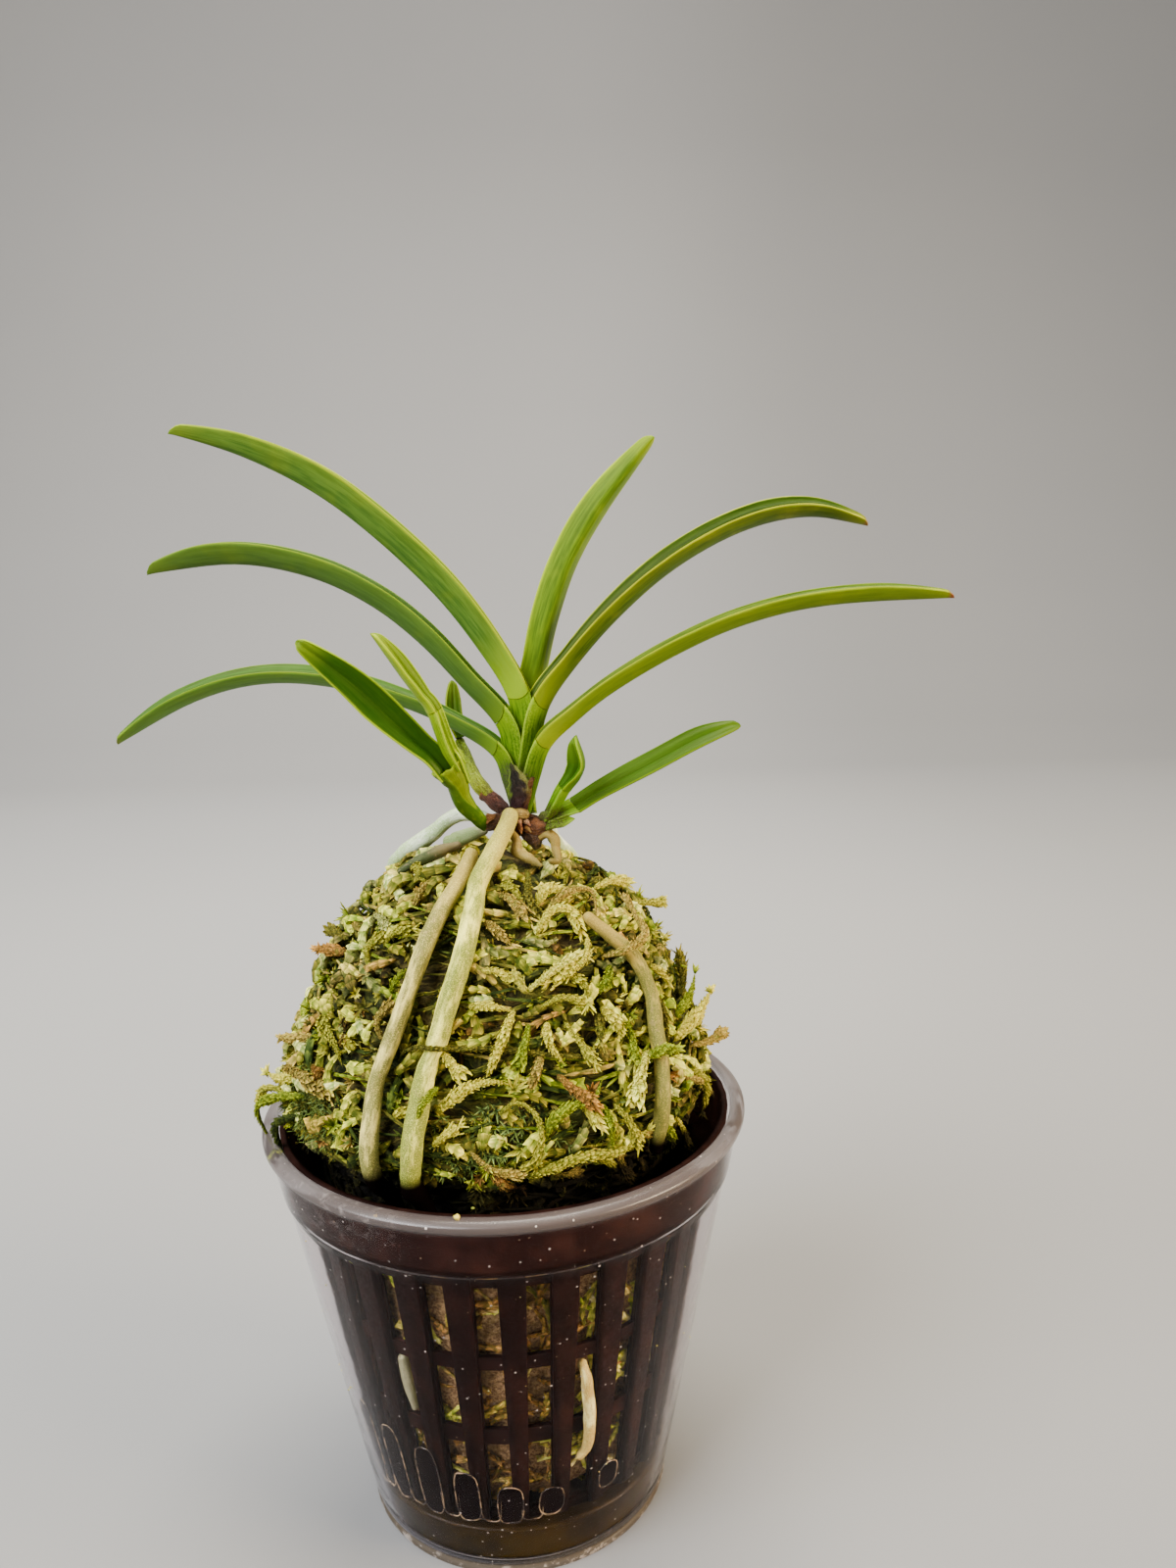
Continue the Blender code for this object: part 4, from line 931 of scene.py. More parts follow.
# The strands that show most, each as its radius, colour and points: the turn from the front, the
# length down the mound and the height over it.
LONG_STRANDS = (
    # over the top and the left shoulder
    (1.0, TAN, (-36, 22.5, 0), (-33, 18, 1.4), (-24, 16, 0.6)),
    (0.9, PALE, (-41, 30.5, 0), (-36, 28, 1.3), (-30, 26.5, 0.5)),
    (1.0, PALE, (-43, 35, 0), (-45, 31.5, 1.5), (-41, 28.5, 0.6)),
    (0.85, LIME, (-30, 37.5, 1.2), (-28, 35, 1.4), (-26, 32.5, 0)),
    (1.0, TAN, (-30, 45.5, 0), (-32, 42, 1.4), (-28, 38.5, 0.6)),
    (1.1, CREAM, (-12, 6, 0.2), (-19, 7.5, 1.6), (-22, 11.5, 0.6)),
    (0.9, PALE, (-69, 15.5, 0.2), (-54, 14.8, 1.4), (-40, 16.5, 0.2)),
    (1.0, GREY, (-54, 28.5, 0), (-49, 26, 1.5), (-41, 27.5, 0.2)),
    (1.2, RUST, (-62, 34, 0), (-68, 35, 1.2), (-76, 36.5, 2.6)),
    (1.1, OLIVE, (-66, 32, 0), (-76, 33, 1.2), (-84, 34, 2.0)),
    # the crook of strands below the crown
    (1.0, PALE, (10, 16.5, 0), (16, 18.5, 1.4), (20, 22.5, 0.4)),
    (1.2, TAN, (7, 18, 0), (13, 21, 1.5), (19, 24, 0.3)),
    (1.0, OLIVE, (33, 13.5, 0.6), (27, 17, 1.5), (22, 21, 1.3), (24, 24.5, 0)),
    (1.1, CREAM, (25, 22, 0), (34, 20, 1.6), (45, 21, 0.5)),
    (0.85, TAN, (29, 23, 0), (42, 21.5, 1.5), (54, 23, 1.8), (49, 27.5, 0.2)),
    (1.25, CREAM, (20, 27.5, 0), (28, 24.6, 1.9), (36, 25, 1.9), (39, 28, 0.2)),
    (0.95, TAN, (1, 24, 0.3), (5, 26.5, 1.2), (10, 28.5, 0.2)),
    (1.1, CREAM, (39, 29.5, 1.2), (34, 33, 1.7), (27, 34.5, 1.2), (21, 35.5, 0)),
    (1.0, WHITE, (12, 37, 0), (20, 34.5, 1.3), (28, 33, 1.5), (36, 32.5, 0.3)),
    (0.95, CREAM, (-1, 33, 1.3), (4, 33.2, 1.2), (9, 34.5, 0)),
    (0.8, WHITE, (13, 37, 0.2), (9, 33, 1.6)),
    (0.9, LIME, (44, 35, 0.2), (39, 37.5, 1.5), (34, 39, 0.8)),
    (1.05, PALE, (26, 34.5, 0), (31, 37, 1.5), (31, 40, 1.3)),
    # the middle
    (0.85, PALE, (16, 39.5, 0), (23, 38.4, 1.3), (31, 40, 0.3)),
    (0.95, CREAM, (-5, 38.5, 0.8), (2, 38.6, 1.4), (9, 39.5, 0)),
    (0.95, CREAM, (9, 39, 0), (6, 42.5, 1.5), (3.5, 46, 1.4), (1, 49.5, 0.4)),
    (1.05, LIME, (13, 41.5, 0.2), (11, 44.5, 1.6), (9, 48.5, 1.4)),
    (1.0, CREAM, (18, 41.5, 0.2), (17.5, 45, 1.6), (21, 49, 1.7)),
    (0.9, PALE, (23, 42, 0.2), (26, 45.5, 1.3), (29, 49.5, 1.6)),
    (1.1, CREAM, (36, 41, 0), (38, 44, 1.5), (40, 47, 1.2)),
    (0.95, OLIVE, (35, 42, 0), (32.5, 46.5, 1.4)),
    (0.95, LIME, (44, 43.5, 0), (42.5, 48, 1.4), (41, 52, 1.6)),
    (1.35, WHITE, (49, 51, 0.4), (44, 51.5, 2.2), (40.5, 54, 2.4), (37.5, 58, 2.2)),
    (0.75, OLIVE, (60, 42, 0.4), (58.5, 47, 1.3), (56, 52.5, 0.9)),
    (0.8, TAN, (41, 33.5, 0.4), (49, 34, 3.4), (59, 33, 3.7), (68, 30, 1.8)),
    (0.7, TAN, (60, 33.5, 3.2), (64, 29.5, 2.6), (70, 26, 2.2)),
    # the lower front
    (1.1, CREAM, (-11, 55, 0.4), (-8, 53.5, 1.5), (-3, 51, 1.6), (3, 50.3, 1.2), (9, 51.3, 0)),
    (1.1, LIME, (14, 61, 0), (17, 57, 1.6), (22, 55.3, 1.7), (27, 55.5, 1.3), (31, 52, 1.6)),
    (1.0, CREAM, (24, 55, 0.8), (28, 59, 1.4)),
    (0.9, LIME, (30, 56, 0.5), (31, 60, 1.4), (32, 64, 1.2)),
    (1.0, PALE, (33, 56.5, 0.5), (36, 60, 1.5), (39, 64, 1.2)),
    (1.0, TAN, (33, 62, 0.5), (35, 67, 1.6), (38, 71, 2.6)),
    (1.2, CREAM, (-11, 45, 1.8), (-8.5, 47, 2.2), (-5, 49.5, 1.0)),
    (1.2, RUST, (19, 50, 0.4), (22.5, 53, 1.6), (26.5, 55.5, 1.5)),
    (0.9, TAN, (15.5, 46.5, 0.6), (13.5, 49.5, 1.3), (11.5, 52, 0.4)),
    (1.0, CREAM, (-21.5, 56, 0.6), (-17, 55, 1.3)),
    (0.7, LIME, (-10.5, 51, 1.8), (-12, 53.5, 4.6), (-13.2, 56, 4.2)),
    (0.95, CREAM, (-10.5, 60, 0.6), (-8, 58.5, 1.5), (-5, 57, 0.8)),
    # the ring of a knot, and the strands under it
    (0.65, PALE, (4, 55.5, 0.2), (7.5, 53.8, 1.5), (11, 54.5, 1.8), (13.6, 57, 1.9), (14, 60, 1.8),
     (12.4, 62.6, 1.3), (9.5, 64, 0.3)),
    (0.85, PALE, (8, 66.5, 0.2), (16, 63.8, 1.5), (24, 63, 1.5), (33, 64, 1.3), (43, 62.5, 1.0)),
    (0.8, TAN, (-2, 60.5, 0.2), (3, 63, 1.3), (10, 65, 0.8)),
    (0.9, RUST, (3, 64, 0.8), (6, 66, 1.5), (9, 68.5, 0.8)),
    (0.8, CREAM, (-3, 66, 0.4), (2, 67.5, 1.0), (6, 68.5, 0.3)),
    (0.8, TAN, (17, 67, 0.4), (21, 66.2, 1.0), (24, 68, 0.3)),
    # the one that ties the front roots down
    (0.52, OLIVE, (-24, 48.5, 0.2), (-22.5, 46.4, 0.9), (-20, 45.5, 1.0), (-17, 45.2, 1.6),
     (-15.5, 45, 3.4), (-13, 45, 4.25), (-10.5, 45, 3.4), (-8, 45, 1.5), (0, 45, 0.9), (8, 45.5, 0.9),
     (18, 47, 1.0), (27, 48.3, 0.8), (38, 50.5, 0.2)),
    (0.45, TAN, (37, 64, 0.4), (43, 63, 1.0), (49, 64.5, 0.8)),
    (0.4, TAN, (38, 62, 0.4), (44, 64, 1.0), (50, 63, 0.8)),
    # the left side
    (1.25, PALE, (-62, 45.5, 0), (-53, 46, 1.6), (-46, 48, 1.4), (-42, 51, 0.2)),
    (1.1, CREAM, (-46, 46, 0.8), (-38, 47.5, 1.2)),
    (1.0, TAN, (-60, 49, 0), (-70, 52, 1.4), (-80, 55, 2.6)),
    (1.4, TAN, (-68, 57, 1.6), (-60, 55.5, 1.8), (-52, 55, 1.6), (-43, 55.5, 0)),
    (1.1, CREAM, (-58, 56, 0), (-66, 58.5, 1.5), (-75, 60, 2.8)),
    (1.0, LIME, (-52, 58, 0.2), (-62, 60.5, 2.2), (-70, 63.5, 4.6), (-73, 68, 6.6), (-70, 72, 8)),
    (0.8, DEEP, (-52, 61, 0.5), (-61, 64, 2.6), (-66, 68, 5), (-66, 72, 6.6)),
    (0.9, PALE, (-60, 59, 0.4), (-70, 61, 2.6), (-77, 64, 4.2)),
    (1.1, UMBER, (-46.5, 43, 0.4), (-44, 45.5, 1.1)),
    (1.1, RUST, (-54, 53, 0.8), (-47, 53.5, 1.3)),
    # the right side
    (1.1, CREAM, (62, 22, 0.4), (72, 23, 1.8), (82, 25, 2.2)),
    (1.0, PALE, (78, 28, 0.5), (88, 31, 2.2), (95, 33, 3.4)),
    (1.1, OLIVE, (78, 48, 0.2), (83, 45, 1.4), (87, 42, 1.9)),
    (1.25, CREAM, (60, 52, 0.3), (70, 51, 2.2), (82, 51, 3.4), (92, 52, 4.6)),
    (1.0, LIME, (66, 49, 0.4), (76, 47, 2.6), (84, 45, 3.8)),
    (1.0, TAN, (67, 54.5, 0.5), (77, 57, 2.2), (88, 59, 4.2)),
    (0.75, TAN, (59, 58, 0.4), (65, 60.5, 1.4), (72, 62.5, 1.0)),
    (0.9, CREAM, (62, 38, 0.5), (65, 40.5, 1.4), (68, 43.5, 1.2)),
    (1.0, LIME, (44, 51.5, 1.6), (49, 51.5, 3.9), (54, 52.5, 3.2)),
    (0.85, CREAM, (54, 63.5, 0.6), (58, 67, 2.2), (61, 70, 3.6), (63, 73, 4.2)),
    (0.95, LIME, (49, 63, 0.6), (52, 66.5, 1.8), (54, 70, 2.0)),
    (0.75, PALE, (27, 66, 0.4), (30, 65, 1.1), (33.5, 68, 1.3), (31, 71, 1.1), (28, 69.5, 0.5)),
    (0.45, TAN, (72, 64, 0.5), (79, 66, 2.2), (86, 68, 4.4)),
    (0.9, PALE, (64, 58, 0.5), (69, 62, 1.6), (71, 67, 2.2)),
)


def tone_near(dice, angle, down):
    """A strand's colour: tan at the top, greyer on the left with a painted tint of the cool window light,
    creamy on the right, green at the foot.
    """
    top, foot = smooth(down, 26, 6), smooth(down, 56, 70)
    left = smooth(angle, -20, -55) if angle > -150 else 0.5
    right = smooth(angle, 30, 70) if angle < 150 else 0.5
    weights = {
        CREAM: 1.0 + 0.9 * right + 0.3 * left - 0.5 * foot, PALE: 1.8 + 0.7 * right,
        GREY: 0.5 + 2.4 * left, LIME: 0.7 + 1.2 * foot, DEEP: 0.5 + 1.2 * foot,
        TAN: 0.5 + 3 * top, OLIVE: 1.0 + 2.0 * top + 0.7 * foot, RUST: 0.16, UMBER: 0.15,
    }
    # Painted light: strands inside the pot, seen through its slots, are brightened, those at the front
    # less.
    lit = 1
    if down > IN_POT:
        front = 1 - smooth(abs(angle), 18, 24)
        lit = 2.5 - 1.2 * front
        weights = {CREAM: 1.2 - front, PALE: 1.3 - 1.2 * front, LIME: 1.3 - 1.25 * front,
                   RUST: 0.6 + 2.2 * front, (0.75, 0.45, 0.15): 1.2, (0.3, 0.14, 0.04): 2.6 * front,
                   OLIVE: 1 - front, UMBER: 0.4 + 1.2 * front}
    tone = dice.choices(list(weights), [max(value, 0.02) for value in weights.values()])[0]
    other = dice.choice((CREAM, PALE, OLIVE, GREY, LIME) if down < IN_POT else (TAN, RUST, CREAM))
    return Vector(tone).lerp(Vector(other), dice.uniform(0, 0.35)) * dice.uniform(0.65, 1.22) * lit


class Roots:
    """The roots as points, so that moss can be laid under them."""

    def __init__(self, lines):
        spots, self.radii = [], []
        for route, radius in lines:
            count = max(int(route.length), 2)
            spots += spread(route, count)
            self.radii += [radius] * (count + 1)
        self.tree = kdtree.KDTree(len(spots))
        for index, spot in enumerate(spots):
            self.tree.insert(spot, index)
        self.tree.balance()

    def overlap(self, point, radius):
        _, index, away = self.tree.find(point)
        return self.radii[index] + radius - away


def lay(angle, down, heading, length, count, lift, bend=0.0, wander=0.0, dice=None):
    """Points of a strand on the mound. heading is 0 down the mound and 90 towards the right; bend
    turns it, in degrees a millimetre; lift(share) is its height over the mound."""
    points = []
    step = length / count
    for index in range(count + 1):
        points.append(on_mound(angle, down, lift(index / count)))
        heading += bend * step
        if wander:
            heading += dice.gauss(0, wander)
        turn = math.radians(heading)
        radius = max(mound_frame(down)[0].x, 3)
        down = clamp(down + math.cos(turn) * step, 0.5, 140)
        angle += math.degrees(math.sin(turn) * step / radius)
    return points


def settle(points, radius, roots):
    """Press a strand down where a root lies on it."""
    for point in points:
        for _ in range(2):
            need = roots.overlap(point, radius * 0.9)
            if need > 0:
                point -= (point - MOUND_MIDDLE).normalized() * min(need * 1.3, 2.4)
    return points


# How many of each kind of moss are tried, of which some are left out.
STREWN = dict(strands=1500, tufts=620, fur=900, fibres=950, inside=800)
WIDEST = 40  # about the mound's widest radius. The share that is kept is the radius over this.
LONG_RINGS = 56

# The girth of a strand along it, as (share of length, share of radius) stops.
WORM = ((0, 0), (0.06, 0.55), (0.18, 0.9), (0.45, 1.0), (0.72, 0.85), (0.9, 0.55), (1, 0.0))
TAILED = ((0, 0), (0.08, 0.7), (0.3, 1.0), (0.6, 0.6), (0.8, 0.32), (1, 0.0))
FAN = ((0, 0), (0.1, 0.5), (0.5, 0.7), (0.8, 1.15), (0.93, 1.2), (1, 0.0))
STALK = ((0, 0), (0.1, 0.9), (0.5, 1.0), (0.9, 0.8), (1, 0.0))


def many(name, count, around, along, place, finish, closed=True, angle=60):
    """A piece of many tubes, or of many strips, made as one grid that is cut between them.
    place(number, column, ring) gives a point and its marks."""
    bm, marks = marked()
    rings = along + 1
    rows = rings * count - 1
    bmesh.ops.create_grid(bm, x_segments=around, y_segments=rows, size=0.5)
    joins = [face for face in bm.faces
             if (int((face.calc_center_median().y + 0.5) * rows) + 1) % rings == 0]
    bmesh.ops.delete(bm, geom=joins, context="FACES")
    for vert in bm.verts:
        number, ring = divmod(round((vert.co.y + 0.5) * rows), rings)
        column = round((vert.co.x + 0.5) * around)
        point, *values = place(number, column % around if closed else column, ring)
        put(vert, point, marks, values)
    if closed:
        bmesh.ops.remove_doubles(bm, verts=bm.verts, dist=WELD)
    return piece(name, bm, finish, "moss", angle=angle, out=closed)


class Strand:
    """A strand of moss: rings of small scale leaves, one over the next, whose tips stand out."""

    def __init__(self, points, radius, tone, profile=WORM, flare=0.35, seed=0.0, flat=0.85):
        self.radius, self.tone, self.flare, self.seed, self.flat = radius, Vector(tone), flare, seed, flat
        last = len(points) - 1
        self.rings = []
        side = None
        length = 0.0
        for index, point in enumerate(points):
            way = (points[min(index + 1, last)] - points[max(index - 1, 0)]).normalized()
            if side is None:
                side = (point - MOUND_MIDDLE).cross(way).normalized()
            side = (side - way * side.dot(way)).normalized()
            length += (point - points[index - 1]).length if index else 0
            size = radius * between(index / last, *profile)
            self.rings.append((point, way, side.copy(), way.cross(side), length, size))
        self.step = length / last
        self.last = last

    def at(self, column, ring, around):
        point, way, side, other, length, size = self.rings[ring]
        angle = column / around * 2 * math.pi
        share = ring / self.last
        open_leaf = ring % 2
        tip = open_leaf * (1 if (column + ring // 2) % 2 else 0.3)
        rough = noise.noise(Vector((column * 1.7, ring * 0.7, self.seed)))
        slow = noise.noise(Vector((column * 0.6, ring * 0.21, self.seed + 40)))
        wobble = min(0.08 + self.flare, 0.3)
        reach = size * (1 - 0.55 * self.flare + 1.55 * self.flare * tip + wobble * (rough + slow))
        ahead = way * self.step * open_leaf * (0.2 + 0.9 * tip) if size > 0 else Vector((0, 0, 0))
        facing = side * math.cos(angle) + other * math.sin(angle) * self.flat
        straight = Vector((math.cos(angle), math.sin(angle), length / max(self.radius, 0.1)))
        marks = straight, self.tone * (1 + 0.25 * share), Vector((share, self.seed % 1, tip))
        return (point + facing * reach + ahead, *marks)


def strands(name, made, around, along, finish):
    return many(name, len(made), around, along,
                lambda number, column, ring: made[number].at(column, ring, around), finish)


class Leaflet:
    """A pointed, dished scale leaf."""

    def __init__(self, start, way, outward, length, width, tone, seed):
        across = way.cross(outward).normalized()
        self.start, self.way, self.across, self.up = start, way, across, across.cross(way)
        self.length, self.width, self.tone, self.seed = length, width, Vector(tone), seed

    def at(self, column, ring):
        side, share = column - 1.0, ring / 3
        wide = self.width * (0.28, 0.5, 0.36, 0.0)[ring]
        rise = (0.25 * self.width * side * side
                + 0.35 * self.length * share * share * (0.6 - self.seed % 1))
        point = self.start + self.way * self.length * share + self.across * side * wide + self.up * rise
        return (point, Vector((side, 0, share * 3 + self.seed)), self.tone * (0.85 + 0.45 * share),
                Vector((share, self.seed % 1, share)))


def leaflets(name, made, finish):
    return many(name, len(made), 2, 3, lambda number, column, ring: made[number].at(column, ring),
                finish, closed=False, angle=0)


def tuft(made, dice, centre, outward, size, tone, count, spread=1.1, slim=0.3):
    """A feathery star of pointed leaflets."""
    aside = outward.orthogonal().normalized()
    for index in range(count):
        turn = index * 2.4 + dice.uniform(-0.3, 0.3)
        open_by = spread * dice.uniform(0.45, 1.0)
        around = aside * math.cos(turn) + outward.cross(aside) * math.sin(turn)
        way = (outward * math.cos(open_by) + around * math.sin(open_by)).normalized()
        made.append(Leaflet(centre, way, outward + around * 0.01, size * dice.uniform(0.7, 1.2),
                            size * slim * dice.uniform(0.8, 1.2), tone * dice.uniform(0.85, 1.15),
                            dice.uniform(0, 50)))


def feather(made, dice, points, radius, tone, profile):
    """Small scale leaves that lie along a strand and stand a little off it."""
    last = len(points) - 1
    for index in range(1, last):
        way = (points[index + 1] - points[index - 1]).normalized()
        outward = (points[index] - MOUND_MIDDLE).normalized()
        outward = (outward - way * outward.dot(way)).normalized()
        size = radius * between(index / last, *profile)
        for turn in (-1.35, -0.45, 0.45, 1.35):
            turn += dice.uniform(-0.4, 0.4)
            facing = outward * math.cos(turn) + outward.cross(way) * math.sin(turn)
            rise = dice.uniform(0.15, 0.5)
            along = way * math.cos(rise) + facing * math.sin(rise)
            start = points[index] + facing * size * 0.62 + way * dice.uniform(-0.25, 0.25)
            made.append(Leaflet(start, along, facing, size * dice.uniform(0.7, 1.15) + 0.12,
                                size * dice.uniform(0.5, 0.75), tone * dice.uniform(0.7, 1.25),
                                dice.uniform(0, 50)))


def moss_finish(name):
    """Damp moss: the strand's own colour, with painted shade between its scale leaves, pale tips that are
    partly a painted highlight, and painted shade in the pot's mouth.
    """
    made, tree, into = new_material(name, roughness=0.85, Specular_IOR_Level=0.08)
    straight = tree.mark("straight")
    share, seed, tip = tree.parts(tree.mark("share"))
    moved = straight * (1.0, 1.0, 0.8) + tree.combine(0.0, 0.0, seed * 40.0)
    fibre = tree.noise(moved * (2.4, 2.4, 0.6), 1.7, 3.0, 0.6)
    scale = tree.cells(moved, 2.0)
    tone = tree.mark("tone")
    spots = tree.noise(tree.place(), 0.5, 3.0, 0.6)
    # painted shade low on the scale leaves
    dark = tone * (0.22, 0.32, 0.18)
    # pale tips, partly a painted highlight
    light = tone * (1.9, 1.8, 1.2) + (0.04, 0.034, 0.0)
    light = tree.vector("MINIMUM", light, (0.98, 0.9, 0.5))
    tone = tree.vector("MINIMUM", tone, (0.98, 0.93, 0.62))
    shown = tip + (fibre - 0.5) * 1.1
    colour = tree.blend(tree.ramp(shown, -0.05, 0.55), dark, tone)
    colour = tree.blend(tree.ramp(shown, 0.5, 0.98), colour, light)
    # painted shade in the hollows between the scale leaves
    colour = tree.blend(tree.ramp(scale, 0.3, 0.6, 0.0, 0.5), colour, dark)
    colour = tree.blend(tree.ramp(spots, 0.54, 0.68, 0.0, 0.35), colour, (0.15, 0.19, 0.02))
    # painted shade in the gap under the pot's rim
    dark = tree.use(PAINTED_MOUTH_SHADE, Place=tree.place())["Dark"]
    colour = tree.blend(dark * 0.97, colour, PAINTED_GAP_SHADE)
    tree.coat(into, colour, None, fibre - scale, 0.7, 0.0003)
    return made


def core_finish():
    """Packed moss behind the strands: dark green and brown fibres lying side by side, kept dark as
    painted shade where they show between the strands.
    """
    made, tree, into = new_material("moss_core", roughness=0.9, Specular_IOR_Level=0.15)
    place = tree.place()
    x, y, z = tree.parts(place)
    warp = tree.noise(place, 0.09, 3.0)
    level = tree.combine(x * 0.16, y * 0.16, z + warp * 16.0)
    fibres = tree.noise(level, 1.1, 5.0, 0.65, 0.6)
    clumps = tree.noise(place, 0.16, 3.0, 0.6)
    fuzz = tree.noise(place, 1.9, 4.0, 0.7)
    colour = tree.blend(tree.ramp(fibres, 0.4, 0.7), (0.012, 0.017, 0.004), (0.12, 0.13, 0.02))
    colour = tree.blend(tree.ramp(clumps, 0.45, 0.62), colour,
                        tree.blend(tree.ramp(fibres, 0.42, 0.68), (0.024, 0.017, 0.005),
                                   (0.17, 0.125, 0.03)))
    colour = tree.blend(tree.ramp(fuzz, 0.58, 0.74, 0.0, 0.5), colour, (0.27, 0.24, 0.05))
    sunk = tree.ramp(z, 66.0, 58.0)
    brown = tree.blend(tree.ramp(fuzz, 0.38, 0.64), (0.2, 0.11, 0.045), (0.62, 0.4, 0.17))
    colour = tree.blend(sunk * tree.ramp(clumps, 0.62, 0.45, 0.45, 0.98), colour, brown)
    # painted shade in the gap under the pot's rim
    colour = tree.blend(tree.use(PAINTED_MOUTH_SHADE, Place=place)["Dark"], colour, PAINTED_GAP_SHADE)
    tree.coat(into, colour, None, fibres + fuzz * 0.6, 1.0, 0.0011)
    return made


def moss_core():
    bm = bmesh.new()
    bmesh.ops.create_uvsphere(bm, u_segments=150, v_segments=110, radius=1.0)
    for vert in bm.verts:
        share = math.acos(clamp(vert.co.z, -1, 1)) / math.pi
        turn = math.degrees(math.atan2(vert.co.x, -vert.co.y))
        down = share * MOUND_ROUTE.length
        point = on_mound(turn, down)
        wave = noise.fractal(point * 0.14, 1.0, 2.0, 4) * 0.8 + noise.noise(
            Vector((point.x * 0.25, point.y * 0.25, point.z * 1.3))) * 0.6
        sunk = 1.9 * smooth(down, 0, 6) if down < 82 else 0.5
        vert.co = on_mound(turn, down, wave * (1 if down < 82 else 0.4) - sunk) * MM
    return piece("moss_core", bm, core_finish(), "moss", "moss_mound", angle=180)


def make_moss():
    """Lay the long strands one by one and strew the rest, front, sides and back. The draws come in a
    fixed order, so the moss is the same each time."""
    dice = random.Random(11)
    roots = Roots(ROOT_LINES)
    moss_core()
    finish = moss_finish("moss_strand")

    # long strands, laid one by one, with stars at the ends of some
    laid, stars, scales = [], [], []
    for radius, tone, *rows in LONG_STRANDS:
        route = Route([on_mound(*row) for row in rows], 6)
        points = spread(route, LONG_RINGS)
        profile = STALK if radius < 0.6 else dice.choice((WORM, TAILED, FAN))
        laid.append(Strand(points, radius * 0.8, Vector(tone) * 0.7, profile, flare=0.1,
                           seed=dice.uniform(0, 99)))
        steps = max(int(route.length / (0.42 + 0.3 * radius)), 4)
        feather(scales, dice, spread(route, steps), radius, Vector(tone), profile)
        if radius > 0.8 and dice.random() < 0.7:
            way = (points[-1] - points[-4]).normalized()
            tuft(stars, dice, points[-3], way, radius * 2.2, Vector(tone) * 1.1, 8, 0.75)
    strands("moss_long_strands", laid, 10, LONG_RINGS, finish)
    leaflets("moss_strand_leaves", scales, finish)

    sectors = {"front": [], "left": [], "right": [], "back": []}
    for index in range(STREWN["strands"]):
        down, angle = dice.uniform(3, 83), dice.uniform(-180, 180)
        if dice.random() > mound_frame(down)[0].x / WIDEST:
            continue
        sector = "left" if angle < 0 else "right"
        sector = "front" if abs(angle) < 48 else "back" if abs(angle) > 125 else sector
        top, foot, left = smooth(down, 28, 8), smooth(down, 60, 76), smooth(angle, -25, -60)
        rise, tail = dice.uniform(-0.4, 0.7), dice.choice((-1.2, -0.5, 0.4, 1.6)) * dice.uniform(0.4, 1)
        plump = max(left * smooth(down, 62, 54), top) * (rise > 0.1)
        size = dice.uniform(0.7, 1.15) * (1 - 0.2 * foot + 0.2 * plump)
        length = ((dice.uniform(4.5, 8) + dice.random() ** 3 * 7)
                  * (1 + 0.3 * top - 0.1 * left - 0.25 * foot))
        heading = dice.gauss(85, 35) if dice.random() < 0.65 else dice.uniform(0, 360)
        heading = -heading if dice.random() < 0.5 else heading
        heading = dice.gauss(0, 55) if dice.random() < top else heading
        sunk = 1.3 - 0.5 * plump + 1.2 * smooth(down, 30, 14) * smooth(angle, 10, 50)

        def lift(share):
            return (-sunk + (rise + 1.3) * math.sin(math.pi * min(share * 1.25, 1)) ** 0.7
                    + tail * share ** 3)

        points = settle(lay(angle, down, heading, length, 12, lift, dice.uniform(-9, 9), 7, dice), size,
                        roots)
        # painted light and shade: strands that rise off the mound are brightened and low ones darkened,
        # and those on the left are brightened
        tone = tone_near(dice, angle, down) * (1.35 if rise > 0.25 else 0.38) * (1 + 0.22 * left)
        sectors[sector].append(Strand(points, size, tone, dice.choice((WORM, WORM, TAILED, FAN)),
                                      flare=dice.uniform(0.16, 0.34) * (1 - 0.65 * plump),
                                      seed=dice.uniform(0, 99)))
    for name, made in sectors.items():
        strands("moss_strands_" + name, made, 6, 12, finish)

    for index in range(STREWN["tufts"]):
        down, angle = dice.uniform(4, 80), dice.uniform(-180, 180)
        bare = max(smooth(down, 34, 24), 0.7 * smooth(angle, -20, -50) * smooth(down, 66, 56), 0.35)
        if dice.random() > mound_frame(down)[0].x / WIDEST or dice.random() < 0.85 * bare:
            continue
        centre = on_mound(angle, down, dice.uniform(-0.8, 0.9))
        if roots.overlap(centre, 1.6) > 0:
            continue
        outward = out_of_mound(angle, down)
        outward = (outward + Vector((dice.gauss(0, 0.4), dice.gauss(0, 0.4),
                                     dice.gauss(0, 0.4)))).normalized()
        tone = Vector(dice.choices((CREAM, PALE, LIME, RUST, TAN, OLIVE), (2.4, 4, 3, 0.6, 1.2, 2))[0])
        tuft(stars, dice, centre, outward, dice.uniform(1.4, 2.8), tone, dice.randint(6, 9), slim=0.26)
    # soft dark fur low on the left, and a little of it at the front
    for index in range(STREWN["fur"]):
        where = dice.random() < 0.7
        angle, down = ((dice.gauss(-52, 8), dice.gauss(61, 3.2)) if where
                       else (dice.gauss(4, 12), dice.gauss(60, 4)))
        centre = on_mound(angle, down, dice.uniform(-1.2, 0.1))
        if roots.overlap(centre, 1.2) > 0:
            continue
        outward = out_of_mound(angle, down)
        tuft(stars, dice, centre, outward, dice.uniform(1.0, 1.9),
             Vector(dice.choice((DEEP, (0.16, 0.22, 0.05), OLIVE, (0.2, 0.27, 0.08)))), 4, 1.35, 0.16)
    leaflets("moss_leaflets", stars, finish)

